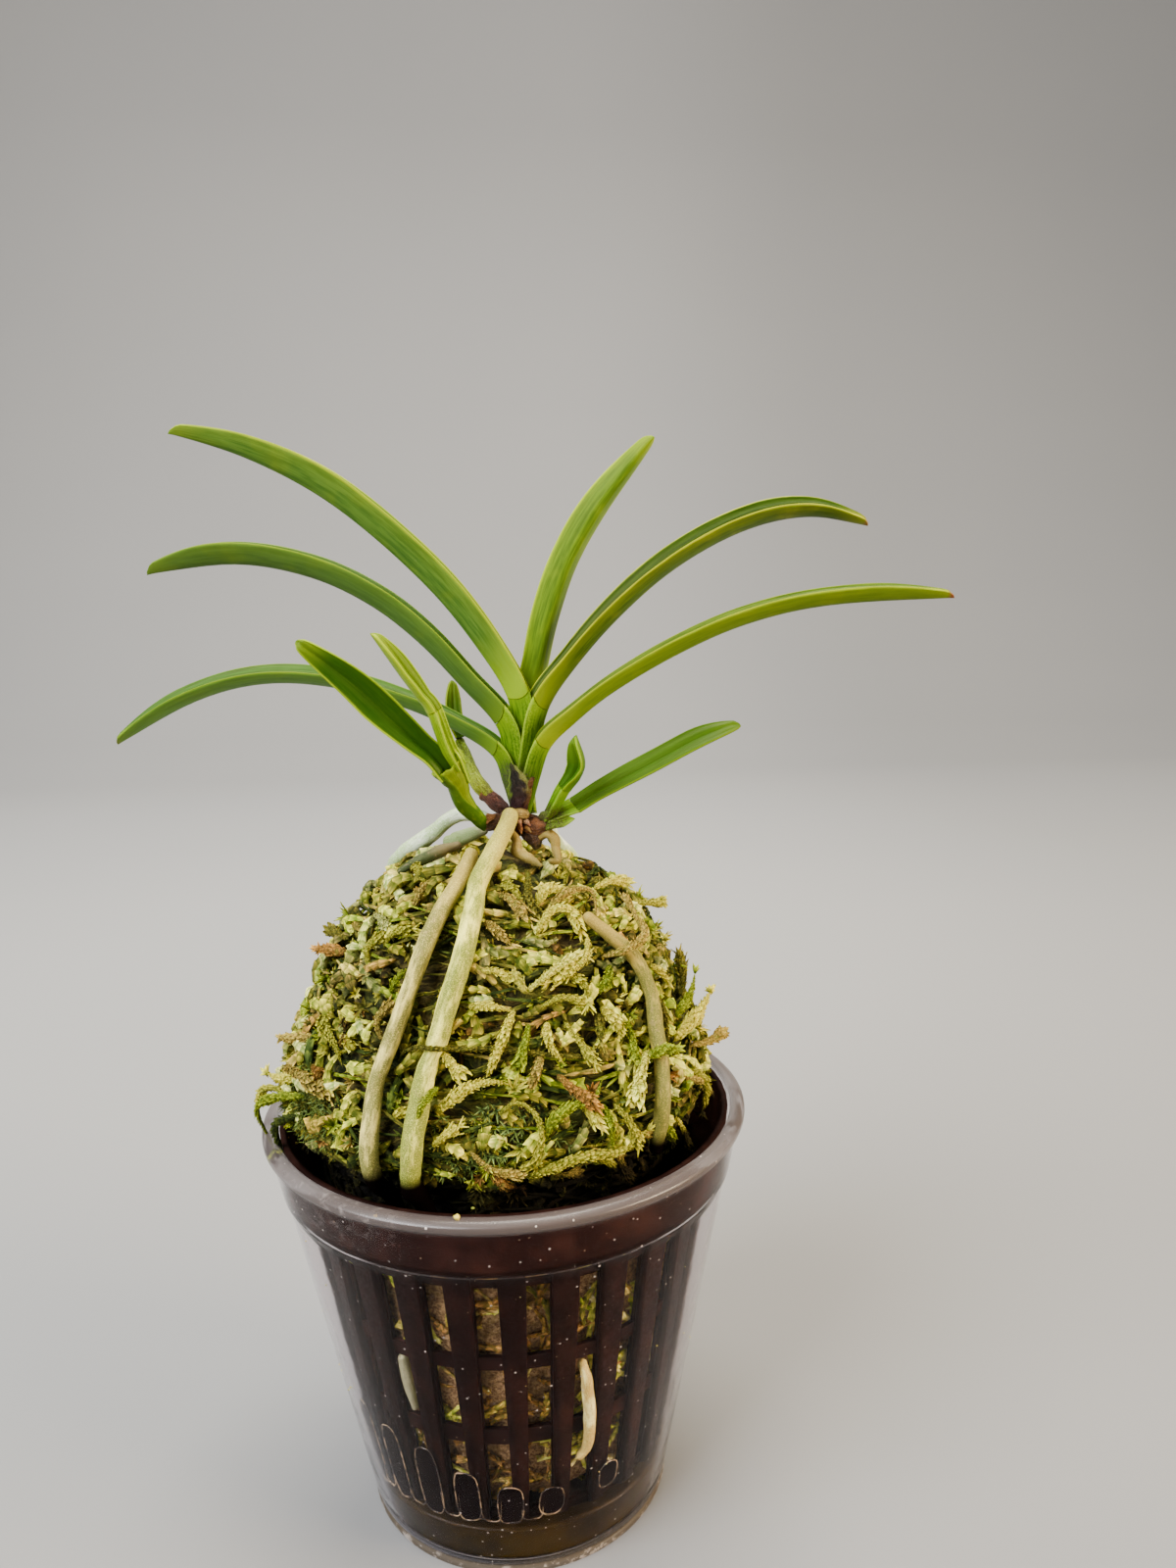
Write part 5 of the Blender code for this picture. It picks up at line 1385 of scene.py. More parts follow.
    thin = []
    for index in range(STREWN["fibres"]):
        down, angle = dice.uniform(20, 82), dice.uniform(-180, 180)
        heading = dice.choice((88, -88)) + dice.gauss(0, 12)
        height = dice.uniform(-1.1, 0.2)
        points = lay(angle, down, heading, dice.uniform(7, 18), 10,
                     lambda share: height + 0.4 * math.sin(share * 5),
                     dice.uniform(-2.5, 2.5), 3, dice)
        size = dice.uniform(0.16, 0.4)
        tone = Vector(dice.choices((DEEP, OLIVE, LIME, PALE, TAN), (3.4, 4, 1.0, 1.0, 1))[0])
        thin.append(Strand(settle(points, size, roots), size, tone, STALK, flare=0.12,
                           seed=dice.uniform(0, 99)))
    strands("moss_fibres", thin, 4, 10, finish)

    inside = []
    for index in range(STREWN["inside"]):
        size = dice.uniform(0.3, 0.75)
        down, angle = dice.uniform(88, 145), dice.uniform(-180, 180)
        points = lay(angle, down, dice.uniform(0, 360), dice.uniform(5, 12), 10, lambda share: 0.1,
                     dice.uniform(-8, 8), 8, dice)
        inside.append(Strand(settle(points, size, roots), size, tone_near(dice, angle, down),
                             dice.choice((WORM, STALK)), flare=0.25, seed=dice.uniform(0, 99)))
    strands("moss_in_pot", inside, 6, 10, finish)


make_moss()


# ---------------------------------------------------------------- the crown and its old husks
def husk_finish(name, shine=0.4, speckle=0.5, streak=0.5, flake=0.0):
    """Old papery skin: its own colour with lengthwise streaks, black specks and worn pale spots."""
    made, tree, into = new_material(name, Specular_IOR_Level=shine)
    tone = tree.vector("SCALE", tree.mark("tone"), scale=0.76)
    turn, along, seed = tree.parts(tree.mark("straight"))
    lengthwise = tree.combine(turn * 2.6, along * 0.35, seed)
    streaks = tree.noise(lengthwise, 1.6, 4.0, 0.65, 0.4)
    place = tree.place()
    grain = tree.noise(place, 3.2, 4.0, 0.7)
    spots = tree.cells(place, 2.1)
    colour = tree.blend(tree.ramp(streaks, 0.36, 0.62, streak, 0.0), tone, tone * (0.26, 0.22, 0.24))
    colour = tree.blend(tree.ramp(grain, 0.55, 0.72, 0.0, 0.45), colour,
                        tone * (1.7, 1.6, 1.5) + (0.07, 0.035, 0.018))
    black = tree.ramp(spots, 0.34, 0.2) * tree.ramp(grain, 0.42, 0.56)
    black = black * speckle * tree.parts(tree.mark("share"))[2]
    colour = tree.blend(black, colour, (0.012, 0.01, 0.01))
    flakes = tree.ramp(tree.noise(place + (7.0, 3.0, 5.0), 1.5, 4.0, 0.75, 1.2), 0.54, 0.62)
    colour = tree.blend(flakes * flake, colour, tone * (3.2, 3.4, 3.6) + (0.08, 0.04, 0.02))
    tree.coat(into, colour, tree.ramp(grain, 0.3, 0.7, 0.26, 0.5), streaks + grain + flakes, 0.9, 0.0004)
    return made


def stops(rows, column):
    """(share, value) stops for one column of evenly spaced rows."""
    return [(index / (len(rows) - 1), row[column]) for index, row in enumerate(rows)]


def lump(bm, marks, rows, tone, around=28, steps=26, wrinkle=0.1, seed=0.0, specks=0.3):
    """A closed knob or bulb along rows of a centre and a radius. tone(share, up) gives its colour."""
    route = Route([row[:3] for row in rows], 6)
    radii = stops(rows, 3)

    def surface(angle, length, share, facing):
        fold = bumps(angle, length, seed, 1.6, 0.35) + 0.6 * bumps(angle, length, seed, 4, 0.7)
        return (1 + wrinkle * fold, Vector((angle, length, seed)), tone(share, facing.z),
                Vector((share, seed % 1, specks)))

    domed_skin(bm, marks, route, around, steps, 5, 0.8, 0.02, lambda share: between(share, *radii),
               surface)


def husk(bm, marks, rows, tone, wrap=1.0, curl=0.0, ragged=0.5, across=22, along=26, seed=0.0,
         front=(0, -1, 0), specks=1.0):
    """A dished scrap of old sheath along rows of a centre and half its width, with torn edges.
    curl turns its right margin out; tone(share, side) gives its colour."""
    route = Route([row[:3] for row in rows], 6)
    halves = stops(rows, 3)
    made = bmesh.ops.create_grid(bm, x_segments=across, y_segments=along, size=0.5)["verts"]
    front = Vector(front)
    for vert in made:
        side, share = vert.co.x * 2, vert.co.y + 0.5
        torn = ragged * (noise.noise(Vector((side * 3, seed, 1))) + 0.7
                         * noise.noise(Vector((side * 11, seed, 5))))
        length = route.length * share * min(0.94 - 0.1 * side * side + 0.16 * torn, 1)
        point, way = route.at(length)
        right = way.cross(front).normalized()
        out = right.cross(way).normalized()
        torn = ragged * (noise.noise(Vector((share * 5, seed, 9))) + 0.8
                         * noise.noise(Vector((share * 17, seed, 13))))
        half = between(length / route.length, *halves) * (1 + 0.18 * torn * abs(side) ** 3)
        turn = side * wrap
        flare = curl * max(side - 0.55, 0) ** 1.5
        ripple = 0.04 * noise.noise(Vector((side * 4, length, seed))) * 4
        spot = point + right * half * math.sin(turn) / max(math.sin(wrap), 0.5)
        spot = spot + out * half * (math.cos(turn) - 1 + ripple) + (out * 1.6 + right) * flare
        put(vert, spot, marks, (Vector((side * 2, length, seed)), tone(share, side),
                                Vector((share, seed % 1, specks))))


def thicken(bm, thick):
    """Give thin sheets a second skin behind them, joined round their margins."""
    bm.normal_update()
    front, faces, rim = list(bm.verts), list(bm.faces), [edge for edge in bm.edges if edge.is_boundary]
    twins = bmesh.ops.duplicate(bm, geom=front + list(bm.edges) + faces)
    twin = twins["vert_map"]
    for vert in front:
        twin[vert].co = vert.co - vert.normal * thick
    for face in [face for face in twins["geom"] if isinstance(face, bmesh.types.BMFace)]:
        face.normal_flip()
    for edge in rim:
        loop = edge.link_loops[0]
        near, far = loop.vert, loop.link_loop_next.vert
        bm.faces.new((far, near, twin[near], twin[far]))


def between_tones(share, colours):
    step = share * (len(colours) - 1)
    index = min(int(step), len(colours) - 2)
    return Vector(colours[index]).lerp(Vector(colours[index + 1]), step - index)


def plain(*colours):
    """A tone that runs through the colours from the foot to the tip."""
    return lambda share, other: between_tones(share, colours)


def make_crown():
    """The knobs of the crown, the stump of an old leaf, and the dry bulb of the back shoot."""
    papery = husk_finish("old_husk", shine=0.15)
    bark = husk_finish("crown_bark", shine=0.22, streak=0.9, flake=0.4)

    brown, red, orange, pink = (
        (0.07, 0.032, 0.014), (0.19, 0.065, 0.028), (0.5, 0.22, 0.05), (0.66, 0.24, 0.12))
    cream = (0.6, 0.38, 0.09)
    bm, marks = marked()
    lump(bm, marks, ((1, -2.4, 131.2, 1.6), (3, -2.6, 131.8, 2.1), (5, -2.7, 131.6, 2.2),
                     (7.2, -3, 131.3, 1.8), (8.8, -3.4, 131.3, 1.2)), plain(brown, red, brown),
         wrinkle=0.2, seed=1)
    lump(bm, marks, ((5.6, -4, 131.2, 0.9), (7, -4.5, 131.3, 1.45), (8.6, -4.8, 131.5, 1.65),
                     (9.9, -5, 131.8, 1.3), (10.5, -5, 132, 0.8)),
         plain((0.34, 0.13, 0.04), (0.18, 0.06, 0.018), (0.24, 0.09, 0.028), (0.08, 0.04, 0.012)),
         wrinkle=0.22, seed=4, around=36, steps=34)
    lump(bm, marks, ((2, -3.8, 132.3, 1.0), (0.7, -4.6, 132.4, 1.45), (-0.8, -4.9, 132.2, 1.4),
                     (-1.9, -4.6, 132, 0.8)), plain(red, (0.13, 0.055, 0.02), (0.2, 0.09, 0.03)),
         wrinkle=0.2, seed=7)
    lump(bm, marks, ((4, -5.5, 134.2, 0.75), (5.1, -5.8, 134.1, 1.05), (6.1, -5.5, 133.8, 0.8)),
         plain(cream, (0.45, 0.3, 0.07), cream), wrinkle=0.14, seed=9)
    lump(bm, marks, ((6.3, -3.6, 130.8, 1.3), (6.9, -4.3, 129.8, 1.7), (7.4, -4.4, 128.8, 1.45),
                     (7.7, -4.2, 127.8, 0.8)),
         plain(brown, (0.05, 0.025, 0.012), (0.12, 0.055, 0.025), (0.3, 0.2, 0.08)),
         wrinkle=0.34, seed=12, around=36)
    for seed, (start, stop, size, colours) in enumerate((
            ((4.6, -4.6, 133.1), (5.2, -6.3, 131.9), 0.62, (pink, (0.82, 0.5, 0.26), pink)),
            ((5.6, -4.6, 132.6), (6.8, -6.1, 131.9), 0.6, ((0.5, 0.18, 0.08), (0.82, 0.5, 0.25), pink)),
            ((4.9, -4.4, 131.6), (5.2, -6, 130.5), 0.55, (pink, (0.5, 0.2, 0.08), orange)),
            ((5.8, -4.6, 131.4), (6.9, -5.9, 130.7), 0.5, ((0.3, 0.1, 0.04), orange, cream)))):
        start, stop = Vector(start), Vector(stop)
        bend = (start + stop) / 2 + Vector((0, -0.35, 0.3))
        lump(bm, marks, ((*start, size), (*bend, size * 0.85), (*stop, size * 0.25)), plain(*colours),
             around=18, steps=12, wrinkle=0.12, seed=20 + seed, specks=0)
    close_ends(bm)
    piece("crown_knobs", bm, bark, "crown", "crown", angle=180)

    # the dry stump of an old leaf in front of the fan, and torn scraps of husk about it
    bm, marks = marked()
    dark, plum = (0.022, 0.018, 0.014), (0.045, 0.014, 0.02)

    def stump(share, side):
        tone = between_tones(share, (plum, plum, (0.04, 0.016, 0.018), (0.035, 0.022, 0.02), dark, dark,
                                     (0.06, 0.07, 0.02)))
        right = between_tones(share, ((0.12, 0.035, 0.02), (0.2, 0.07, 0.035), (0.26, 0.14, 0.05),
                                      (0.34, 0.34, 0.07), (0.3, 0.33, 0.07), (0.22, 0.27, 0.05)))
        left = Vector((0.24, 0.36, 0.03))
        tone = tone.lerp(right, smooth(side + 0.25 * noise.noise(Vector((share * 9, side * 3, 2))),
                                       0.3, 0.7))
        tone = tone.lerp(left, smooth(side + 0.3 * noise.noise(Vector((share * 9, side * 3, 6))),
                                      -0.45, -0.8) * smooth(share, 0.25, 0.45))
        return tone.lerp(Vector((0.72, 0.34, 0.06)),
                         smooth(side, 0.88, 0.97) * (1 - smooth(share, 0.55, 0.7)))

    husk(bm, marks, ((4.9, -5.4, 133.6, 1.25), (4.9, -5.9, 135.4, 1.65), (5.1, -6.3, 137.3, 2.05),
                     (5, -6.4, 139.1, 2.15), (4.5, -6.1, 141, 1.6), (3.9, -5.6, 142.7, 0.8),
                     (3.6, -5.2, 143.6, 0.35)), stump, wrap=1.1, curl=0.1, ragged=0.42, across=34,
         along=44, seed=3)
    husk(bm, marks, ((6.9, -5.4, 138.6, 0.2), (7.2, -5.8, 139.6, 0.4), (7.8, -6.1, 140.8, 0.15)),
         plain((0.24, 0.1, 0.03), (0.24, 0.1, 0.03)), wrap=0.7, ragged=1.4, across=12, along=12, seed=6,
         specks=0.3)
    # torn edges over the left knob, and a spotted one at the foot of the right shoot
    husk(bm, marks, ((-2.4, -4.3, 132.2, 0.6), (-1.6, -5.6, 133.3, 1.25), (-0.4, -6, 133.8, 1.0),
                     (1, -5.6, 133.9, 0.3)), plain((0.4, 0.17, 0.05), (0.4, 0.17, 0.05)),
         wrap=0.9, ragged=1.3, across=14, along=20, seed=8, front=(0, -0.6, 0.8), specks=0.4)
    husk(bm, marks, ((8.6, -5.2, 131.6, 0.9), (9.3, -5.9, 132.6, 1.35), (9.9, -6.1, 133.6, 1.3),
                     (10.4, -5.9, 134.6, 0.5)),
         plain((0.05, 0.03, 0.015), (0.1, 0.1, 0.02), (0.16, 0.22, 0.03)),
         wrap=1.2, ragged=0.7, seed=11, specks=1.6)
    bmesh.ops.recalc_face_normals(bm, faces=bm.faces)
    thicken(bm, 0.00032)
    piece("old_sheath_husks", bm, papery, "old_sheath", "old_leaf_sheath", angle=50)

    # the side shoot at the back: a dark bulb with a torn rim, and its green striped foot
    bm, marks = marked()
    lump(bm, marks, ((2.7, -0.6, 133.2, 0.9), (1.5, 0.3, 133.9, 1.35), (0.3, 1.2, 134.8, 1.5),
                     (-1.1, 2.3, 135.8, 1.35), (-2, 3, 136.5, 1.1)),
         plain((0.07, 0.022, 0.014), (0.12, 0.035, 0.02), (0.15, 0.045, 0.025), (0.2, 0.07, 0.03)),
         wrinkle=0.12, seed=15, around=36, steps=34)
    lump(bm, marks, ((-0.9, 2.1, 135.8, 1.25), (-3, 3.8, 137.9, 1.5), (-4.4, 5.4, 140, 1.4),
                     (-5.3, 6.8, 142.1, 1.3), (-6, 7.8, 143.8, 1.2), (-6.5, 8.4, 145.2, 0.9)),
         plain((0.32, 0.34, 0.01), (0.4, 0.5, 0.006), (0.28, 0.4, 0.005), (0.2, 0.32, 0.004)),
         wrinkle=0.08, seed=18, around=32, steps=40, specks=0.9)
    close_ends(bm)
    torn, marks = marked()
    axis = Vector((-2.3, 2.0, 1.7)).normalized()
    side = axis.orthogonal().normalized()
    other = axis.cross(side)
    made = bmesh.ops.create_grid(torn, x_segments=44, y_segments=5, size=0.5)["verts"]
    for vert in made:
        angle, share = (vert.co.x + 0.5) * 2 * math.pi, vert.co.y + 0.5
        around = Vector((math.cos(angle), math.sin(angle), 0))
        jag = 0.3 * noise.noise(around * 2.2) + 0.35 * noise.noise(around * 7)
        reach = 1.34 + 0.12 * share
        point = Vector((-1.3, 2.4, 135.9)) + axis * (share * (0.55 + jag)) + (
            side * math.cos(angle) + other * math.sin(angle)) * reach
        tone = between_tones(share, ((0.14, 0.045, 0.025), (0.42, 0.18, 0.05)))
        put(vert, point, marks, (Vector((angle, share, 2)), tone, Vector((share, 0.5, 1.0))))
    bmesh.ops.remove_doubles(torn, verts=made, dist=WELD)
    bmesh.ops.recalc_face_normals(torn, faces=torn.faces)
    thicken(torn, 0.0002)
    piece("back_shoot_bulb", bm, bark, "old_sheath", "back_shoot_stem", angle=180)
    piece("back_shoot_torn_rim", torn, papery, "old_sheath", angle=50)


# The front shoot's clasping foot, from its scar up to its flared mouth: the middle of each ring
# and how far the ring reaches across and to the front.
COLLAR = (
    (-1.1, -5.2, 131.7, 0.9, 0.8), (-1.7, -5.8, 132.5, 1.3, 1.0), (-2.5, -6.7, 133.9, 1.5, 1.15),
    (-3.9, -8.4, 136, 1.7, 1.25), (-4.7, -10, 138.2, 1.7, 1.35), (-5.1, -11.3, 140.8, 1.85, 1.5),
    (-5.9, -12.2, 142.6, 2.3, 1.7), (-6.7, -12.8, 144.4, 3.0, 1.9),
)


def collar_finish():
    """Fresh sheath: streaked green flesh, darker low down, with a pale rim."""
    made, tree, into = new_material("front_shoot_collar", Subsurface_Weight=0.1, Specular_IOR_Level=0.15,
                                    **FLESH)
    turn, along, seed = tree.parts(tree.mark("straight"))
    tone = tree.vector("SCALE", tree.mark("tone"), scale=0.66)
    streaks = tree.noise(tree.combine(turn * 5.0, along * 0.12, seed), 1.5, 4.0, 0.65)
    colour = tree.blend(tree.ramp(streaks, 0.36, 0.62, 0.5, 0.0), tone, tone * (0.5, 0.66, 0.5))
    colour = tree.blend(tree.ramp(tree.noise(tree.place(), 0.9, 3.0, 0.6), 0.5, 0.75, 0.0, 0.3), colour,
                        (0.26, 0.34, 0.003))
    tree.coat(into, colour, tree.ramp(streaks, 0.2, 0.8, 0.4, 0.55), streaks, 0.5, 0.00015)
    return made


def make_collar():
    """The front shoot's outer sheath, as one closed skin that turns in at its mouth."""
    route = Route([row[:3] for row in COLLAR], 6)
    wide, deep = stops(COLLAR, 3), stops(COLLAR, 4)
    bm, marks = marked()

    def place(turn, share):
        angle = turn * 2 * math.pi
        side, front = math.sin(angle), math.cos(angle)
        inside = share > 0.84
        up = 1 - (share - 0.84) / 0.16 * 0.1 if inside else min(share / 0.82, 1)
        rim = smooth(up, 0.7, 1) * (0.35 * side + 0.5 * noise.noise(Vector((side * 2, front * 2, 4)))
                                    - 0.35 * front ** 2)
        point, way = route.at(clamp(route.length * up, 0, route.length))
        right = way.cross(Vector((0, -1, 0))).normalized()
        out = right.cross(way).normalized()
        # the outer sheath's margins part at the front right and let the inner one show
        seam = mix(0.75, -0.3, smooth(up, 0.3, 0.95))
        opened = smooth(side, seam - 0.05, seam + 0.03) * smooth(front, -0.1, 0.2) * smooth(up, 0.3, 0.36)
        thick = 0.42 if inside else 0.2 * opened
        across = between(up, *wide) - thick
        fore = between(up, *deep) - thick
        point = (point + right * across * side
                 + out * fore * math.copysign(abs(front) ** 0.9, front) + way * rim)
        fresh = Vector((0.2, 0.29, 0.001)).lerp(Vector((0.19, 0.26, 0.001)), smooth(up, 0.5, 0.8))
        tone = Vector((0.065, 0.155, 0.001)).lerp(Vector((0.1, 0.19, 0.01)),
                                                  smooth(up, 0.35, 0.9)).lerp(fresh, opened)
        tone = tone.lerp(Vector((0.36, 0.5, 0.003)), smooth(up, 0.96, 1))
        if inside:
            tone = tone.lerp(Vector((0.1, 0.17, 0.002)), smooth(up, 1, 0.95))
        return point, Vector((angle, route.length * up, 0.5)), tone, Vector((up, 0.5, 0))

    skin(bm, 72, 64, place, marks)
    close_ends(bm)
    piece("front_shoot_collar", bm, collar_finish(), "sheath", "front_shoot_stem", angle=50)


make_crown()
make_collar()


# ---------------------------------------------------------------- the net pot
CUP_FOOT, CUP_SLOPE = 28.5, 0.198  # its radius at the table, and how much that grows a millimetre
FILM_IN = 1.14  # from the cup's outside to the water on its inside


def cup_radius(height):
    return CUP_FOOT + CUP_SLOPE * height


def pot_finish():
    """Black moulded plastic, damp low down and dusty where the moss has rubbed it."""
    made, tree, into = new_material("net_pot_black", Specular_IOR_Level=0.03)
    place = tree.place()
    x, y, z = tree.parts(place)
    grain = tree.noise(place, 1.6, 4.0, 0.65)
    dirt = tree.noise(place, 0.16, 4.0, 0.6)
    streaks = tree.noise(place * (1.0, 1.0, 0.12), 0.9, 3.0, 0.6)
    specks = tree.cells(place, 0.55)
    colour = tree.blend(tree.ramp(dirt, 0.42, 0.7), (0.0075, 0.0025, 0.0018), (0.018, 0.0065, 0.0045))
    colour = tree.blend(tree.ramp(streaks, 0.58, 0.8, 0.0, 0.35), colour, (0.028, 0.015, 0.012))
    damp = tree.ramp(z + dirt * 14.0, 34.0, 20.0)
    colour = tree.blend(damp, colour, (0.006, 0.002, 0.001))
    crumbs = tree.ramp(specks, 0.1, 0.05) * tree.ramp(grain, 0.5, 0.6)
    colour = tree.blend(crumbs, colour, (0.3, 0.24, 0.15))
    roughness = tree.ramp(grain, 0.3, 0.7, 0.42, 0.58) - damp * 0.1
    tree.coat(into, colour, roughness, grain + crumbs * 2.0, 0.25, 0.00015)
    return made


def make_net_pot():
    bm = bmesh.new()
    bm.from_mesh(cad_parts["net_pot"].data)
    bmesh.ops.remove_doubles(bm, verts=bm.verts, dist=2e-6)
    piece("net_pot_black", bm, pot_finish(), "net_pot", "net_pot", angle=32, out=False)


make_net_pot()


# ---------------------------------------------------------------- the clear cup and its water
def rounded(corners, reach=0.35, steps=3):
    """An outline with its corners eased, starting and ending where it did."""
    line = [Vector(corners[0])]
    for before, corner, after in zip(corners, corners[1:], corners[2:]):
        before, corner, after = Vector(before), Vector(corner), Vector(after)
        start = corner + (before - corner).normalized() * min(reach, (before - corner).length * 0.45)
        stop = corner + (after - corner).normalized() * min(reach, (after - corner).length * 0.45)
        for step in range(steps + 1):
            share = step / steps
            line.append(start.lerp(corner, share).lerp(corner.lerp(stop, share), share))
    line.append(Vector(corners[-1]))
    return line


def spun(name, outline, finish, stands_for=None, steps=192):
    """A piece of the cup, turned from an outline of radii and heights."""
    bm = bmesh.new()
    line = [bm.verts.new((point.x * MM, 0, point.y * MM)) for point in outline]
    edges = [bm.edges.new(pair) for pair in zip(line, line[1:])]
    bmesh.ops.spin(bm, geom=line + edges, cent=(0, 0, 0), axis=(0, 0, 1), angle=2 * math.pi, steps=steps,
                   use_merge=True)
    bmesh.ops.remove_doubles(bm, verts=bm.verts, dist=1e-7)
    piece(name, bm, finish, "clear_cup", stands_for, angle=60)


def clear_finish():
    """Clear smoky plastic: see-through to light, with a thin bloom of dust, scuffs and specks, a painted
    sheen at the front left of the flange, a brim that is dusty and painted grey as a reflection, and pale
    flecks on the foot as painted highlights.
    """
    made, tree, into = new_material("clear_plastic", roughness=0.03, IOR=1.1, Transmission_Weight=1.0,
                                    Specular_Tint=(0.45, 0.36, 0.34, 1))
    place = tree.place()
    x, y, z = tree.parts(place)
    reach = tree.vector("LENGTH", tree.combine(x, y, 0.0))
    rings = tree.noise(tree.combine(0.0, 0.0, z + reach * 1.7), 2.4, 3.0, 0.7)
    ripple = tree.noise(place, 0.09, 2.0)
    height = rings * tree.ramp(z, 65.5, 68.5, 0.25, 1.0) + ripple * 5.0
    tree.coat(into, (0.86, 0.82, 0.84), None, height, 0.35, 0.00006)
    dust = tree.node("BsdfPrincipled")
    dust.inputs["Roughness"].default_value = 0.3
    patches = tree.noise(place, 0.05, 4.0, 0.6)
    bloom = tree.ramp(patches, 0.45, 0.8, 0.0, 0.004)
    specks = tree.cells(place, 0.42)
    sizes = tree.noise(place, 0.3, 1.0)
    speck = tree.ramp(specks, 0.11, 0.06) * tree.ramp(sizes, 0.46, 0.52)
    # a patch at the front left of the flange, by its turn from the front in radians: scuffs and a painted
    # sheen of window light
    turn = tree.math("ARCTAN2", x, y * -1.0)
    scuffs_and_sheen = tree.ramp(turn, -0.95, -0.8) * tree.ramp(turn, -0.25, -0.5)
    scuffs_and_sheen = scuffs_and_sheen * tree.ramp(z, 68.0, 71.0)
    scuffs_and_sheen = scuffs_and_sheen * tree.ramp(tree.noise(place, 0.5, 4.0, 0.65), 0.5, 0.72, 0.02, 0.22)
    outer = tree.ramp(reach - z * CUP_SLOPE, 28.0, 28.3)
    bloom = bloom * outer
    # dusty places: the rolled brim, also painted grey as a reflection, the ledge under the step, and the
    # bead round the foot
    # the brim: dust and a painted grey reflection
    brim = tree.ramp(reach, 42.1, 42.5) * tree.ramp(z, 75.5, 76.3) * 0.68
    ledge = tree.ramp(z, 67.6, 67.2) * (tree.ramp(z, 66.3, 66.7) * 0.04)
    flange = brim + ledge
    # pale flecks round the foot are painted sparkle highlights on the bead
    foot = tree.ramp(z, 2.6, 1.2) * tree.ramp(tree.noise(place, 0.5, 4.0, 0.7), 0.52, 0.64, 0.0, 0.45)
    stained = tree.ramp(z, 2.9, 2.4, 0.0, 0.8)
    dull = tree.blend(stained, (0.088, 0.07, 0.064), (0.05, 0.033, 0.01))
    pale = tree.math("ADD", speck + scuffs_and_sheen, foot, clamp=True)
    tree.join(tree.blend(pale, dull, (0.6, 0.52, 0.47)), dust.inputs["Base Color"])
    share = tree.math("ADD", bloom + flange, speck * 0.5 + (scuffs_and_sheen + (foot + stained)), clamp=True)
    # light passes the plastic as through clear film, so that the moss inside is lit
    clear = tree.node("BsdfTransparent")
    clear.inputs["Color"].default_value = (0.9, 0.88, 0.9, 1)
    rays = tree.node("LightPath")
    glass = made.node_tree.nodes["Principled BSDF"]
    dusty = tree.node("MixShader")
    tree.join(share, dusty.inputs[0])
    tree.join(glass.outputs[0], dusty.inputs[1])
    tree.join(dust.outputs[0], dusty.inputs[2])
    lit = tree.node("MixShader")
    tree.join(rays.outputs["Is Shadow Ray"], lit.inputs[0])
    tree.join(dusty.outputs[0], lit.inputs[1])
    tree.join(clear.outputs[0], lit.inputs[2])
    tree.join(lit.outputs[0], made.node_tree.nodes["Material Output"].inputs["Surface"])
    return made


def make_cup():
    # up the inside from the middle of the floor, over the rim, and down the outside to the table
    over = 67.2  # the top of the step that the net pot hangs on
    step_out = cup_radius(over) + 0.45
    outline = ((0, 1.2), (25.9, 1.2), (cup_radius(3) - 1, 3), (cup_radius(65.6) - 1, 65.6),
               (cup_radius(over) - 1.35, 66.6), (step_out - 1, 66.6), (step_out - 0.9, over),
               (42.3, 76.7), (42.3, 78), (42.8, 78.3), (44, 78.2), (45, 77.5), (45, 76.5), (44.3, 76),
               (43.8, 75.1), (step_out, over), (cup_radius(65.6), 65.6), (cup_radius(2.6), 2.6),
               (28.6, 2.1), (28.95, 1.5), (28.8, 0.5), (28, 0), (0, 0))
    spun("clear_cup_shell", rounded(outline), clear_finish(), "outer_cup")


# Wet patches between the pot's ribs and the cup: the turn from the front, the foot and the top of
# the patch, half its width and whether it is an open ring.
WET_PATCHES = (
    (-40, 12, 28.5, 2.1, False), (-26.5, 12, 27, 2.2, False), (-13.5, 12, 23.5, 2.2, False),
    (0.5, 12, 20.5, 2.2, False), (14, 13, 19.4, 2.2, True), (34, 15, 20.8, 1.9, True),
    (-52, 12, 30, 2.0, False), (78, 14, 22, 2.0, True), (120, 12, 24, 2.2, False),
    (150, 12, 27, 2.1, False), (176, 12, 21, 2.2, False), (-150, 12, 25, 2.2, False),
    (-120, 12, 29, 2.0, False), (-88, 12, 31, 2.0, False),
)
WET_TONGUES = ((-33, 12.5, 17, 1.5), (-19.8, 12.5, 18, 1.7), (-6, 12.4, 18.5, 1.8),
               (7.6, 12.6, 15.5, 1.8), (-47, 12.5, 17, 1.4), (127, 12.5, 17, 1.7), (163, 12.5, 18, 1.8),
               (-163, 12.5, 17, 1.7))


def patch_outline(turn, low, high, half, ring, count=44):
    """Round the edge of a wet patch: a tall arch, or an oval."""
    points = []
    for index in range(count):
        angle = index / count * 2 * math.pi
        side, up = math.sin(angle), math.cos(angle)
        wave = 1 + 0.05 * noise.noise(Vector((side * 2, up * 2, turn)))
        squash = 0.7 if ring else 0.5
        z = (low + high) / 2 + (high - low) / 2 * math.copysign(abs(up) ** squash, up) * wave
        across = half * math.copysign(abs(side) ** (0.9 if ring else 0.7), side) * wave
        reach = cup_radius(z) - FILM_IN
        points.append(around_pot(reach, turn + math.degrees(across / reach), z))
    return points


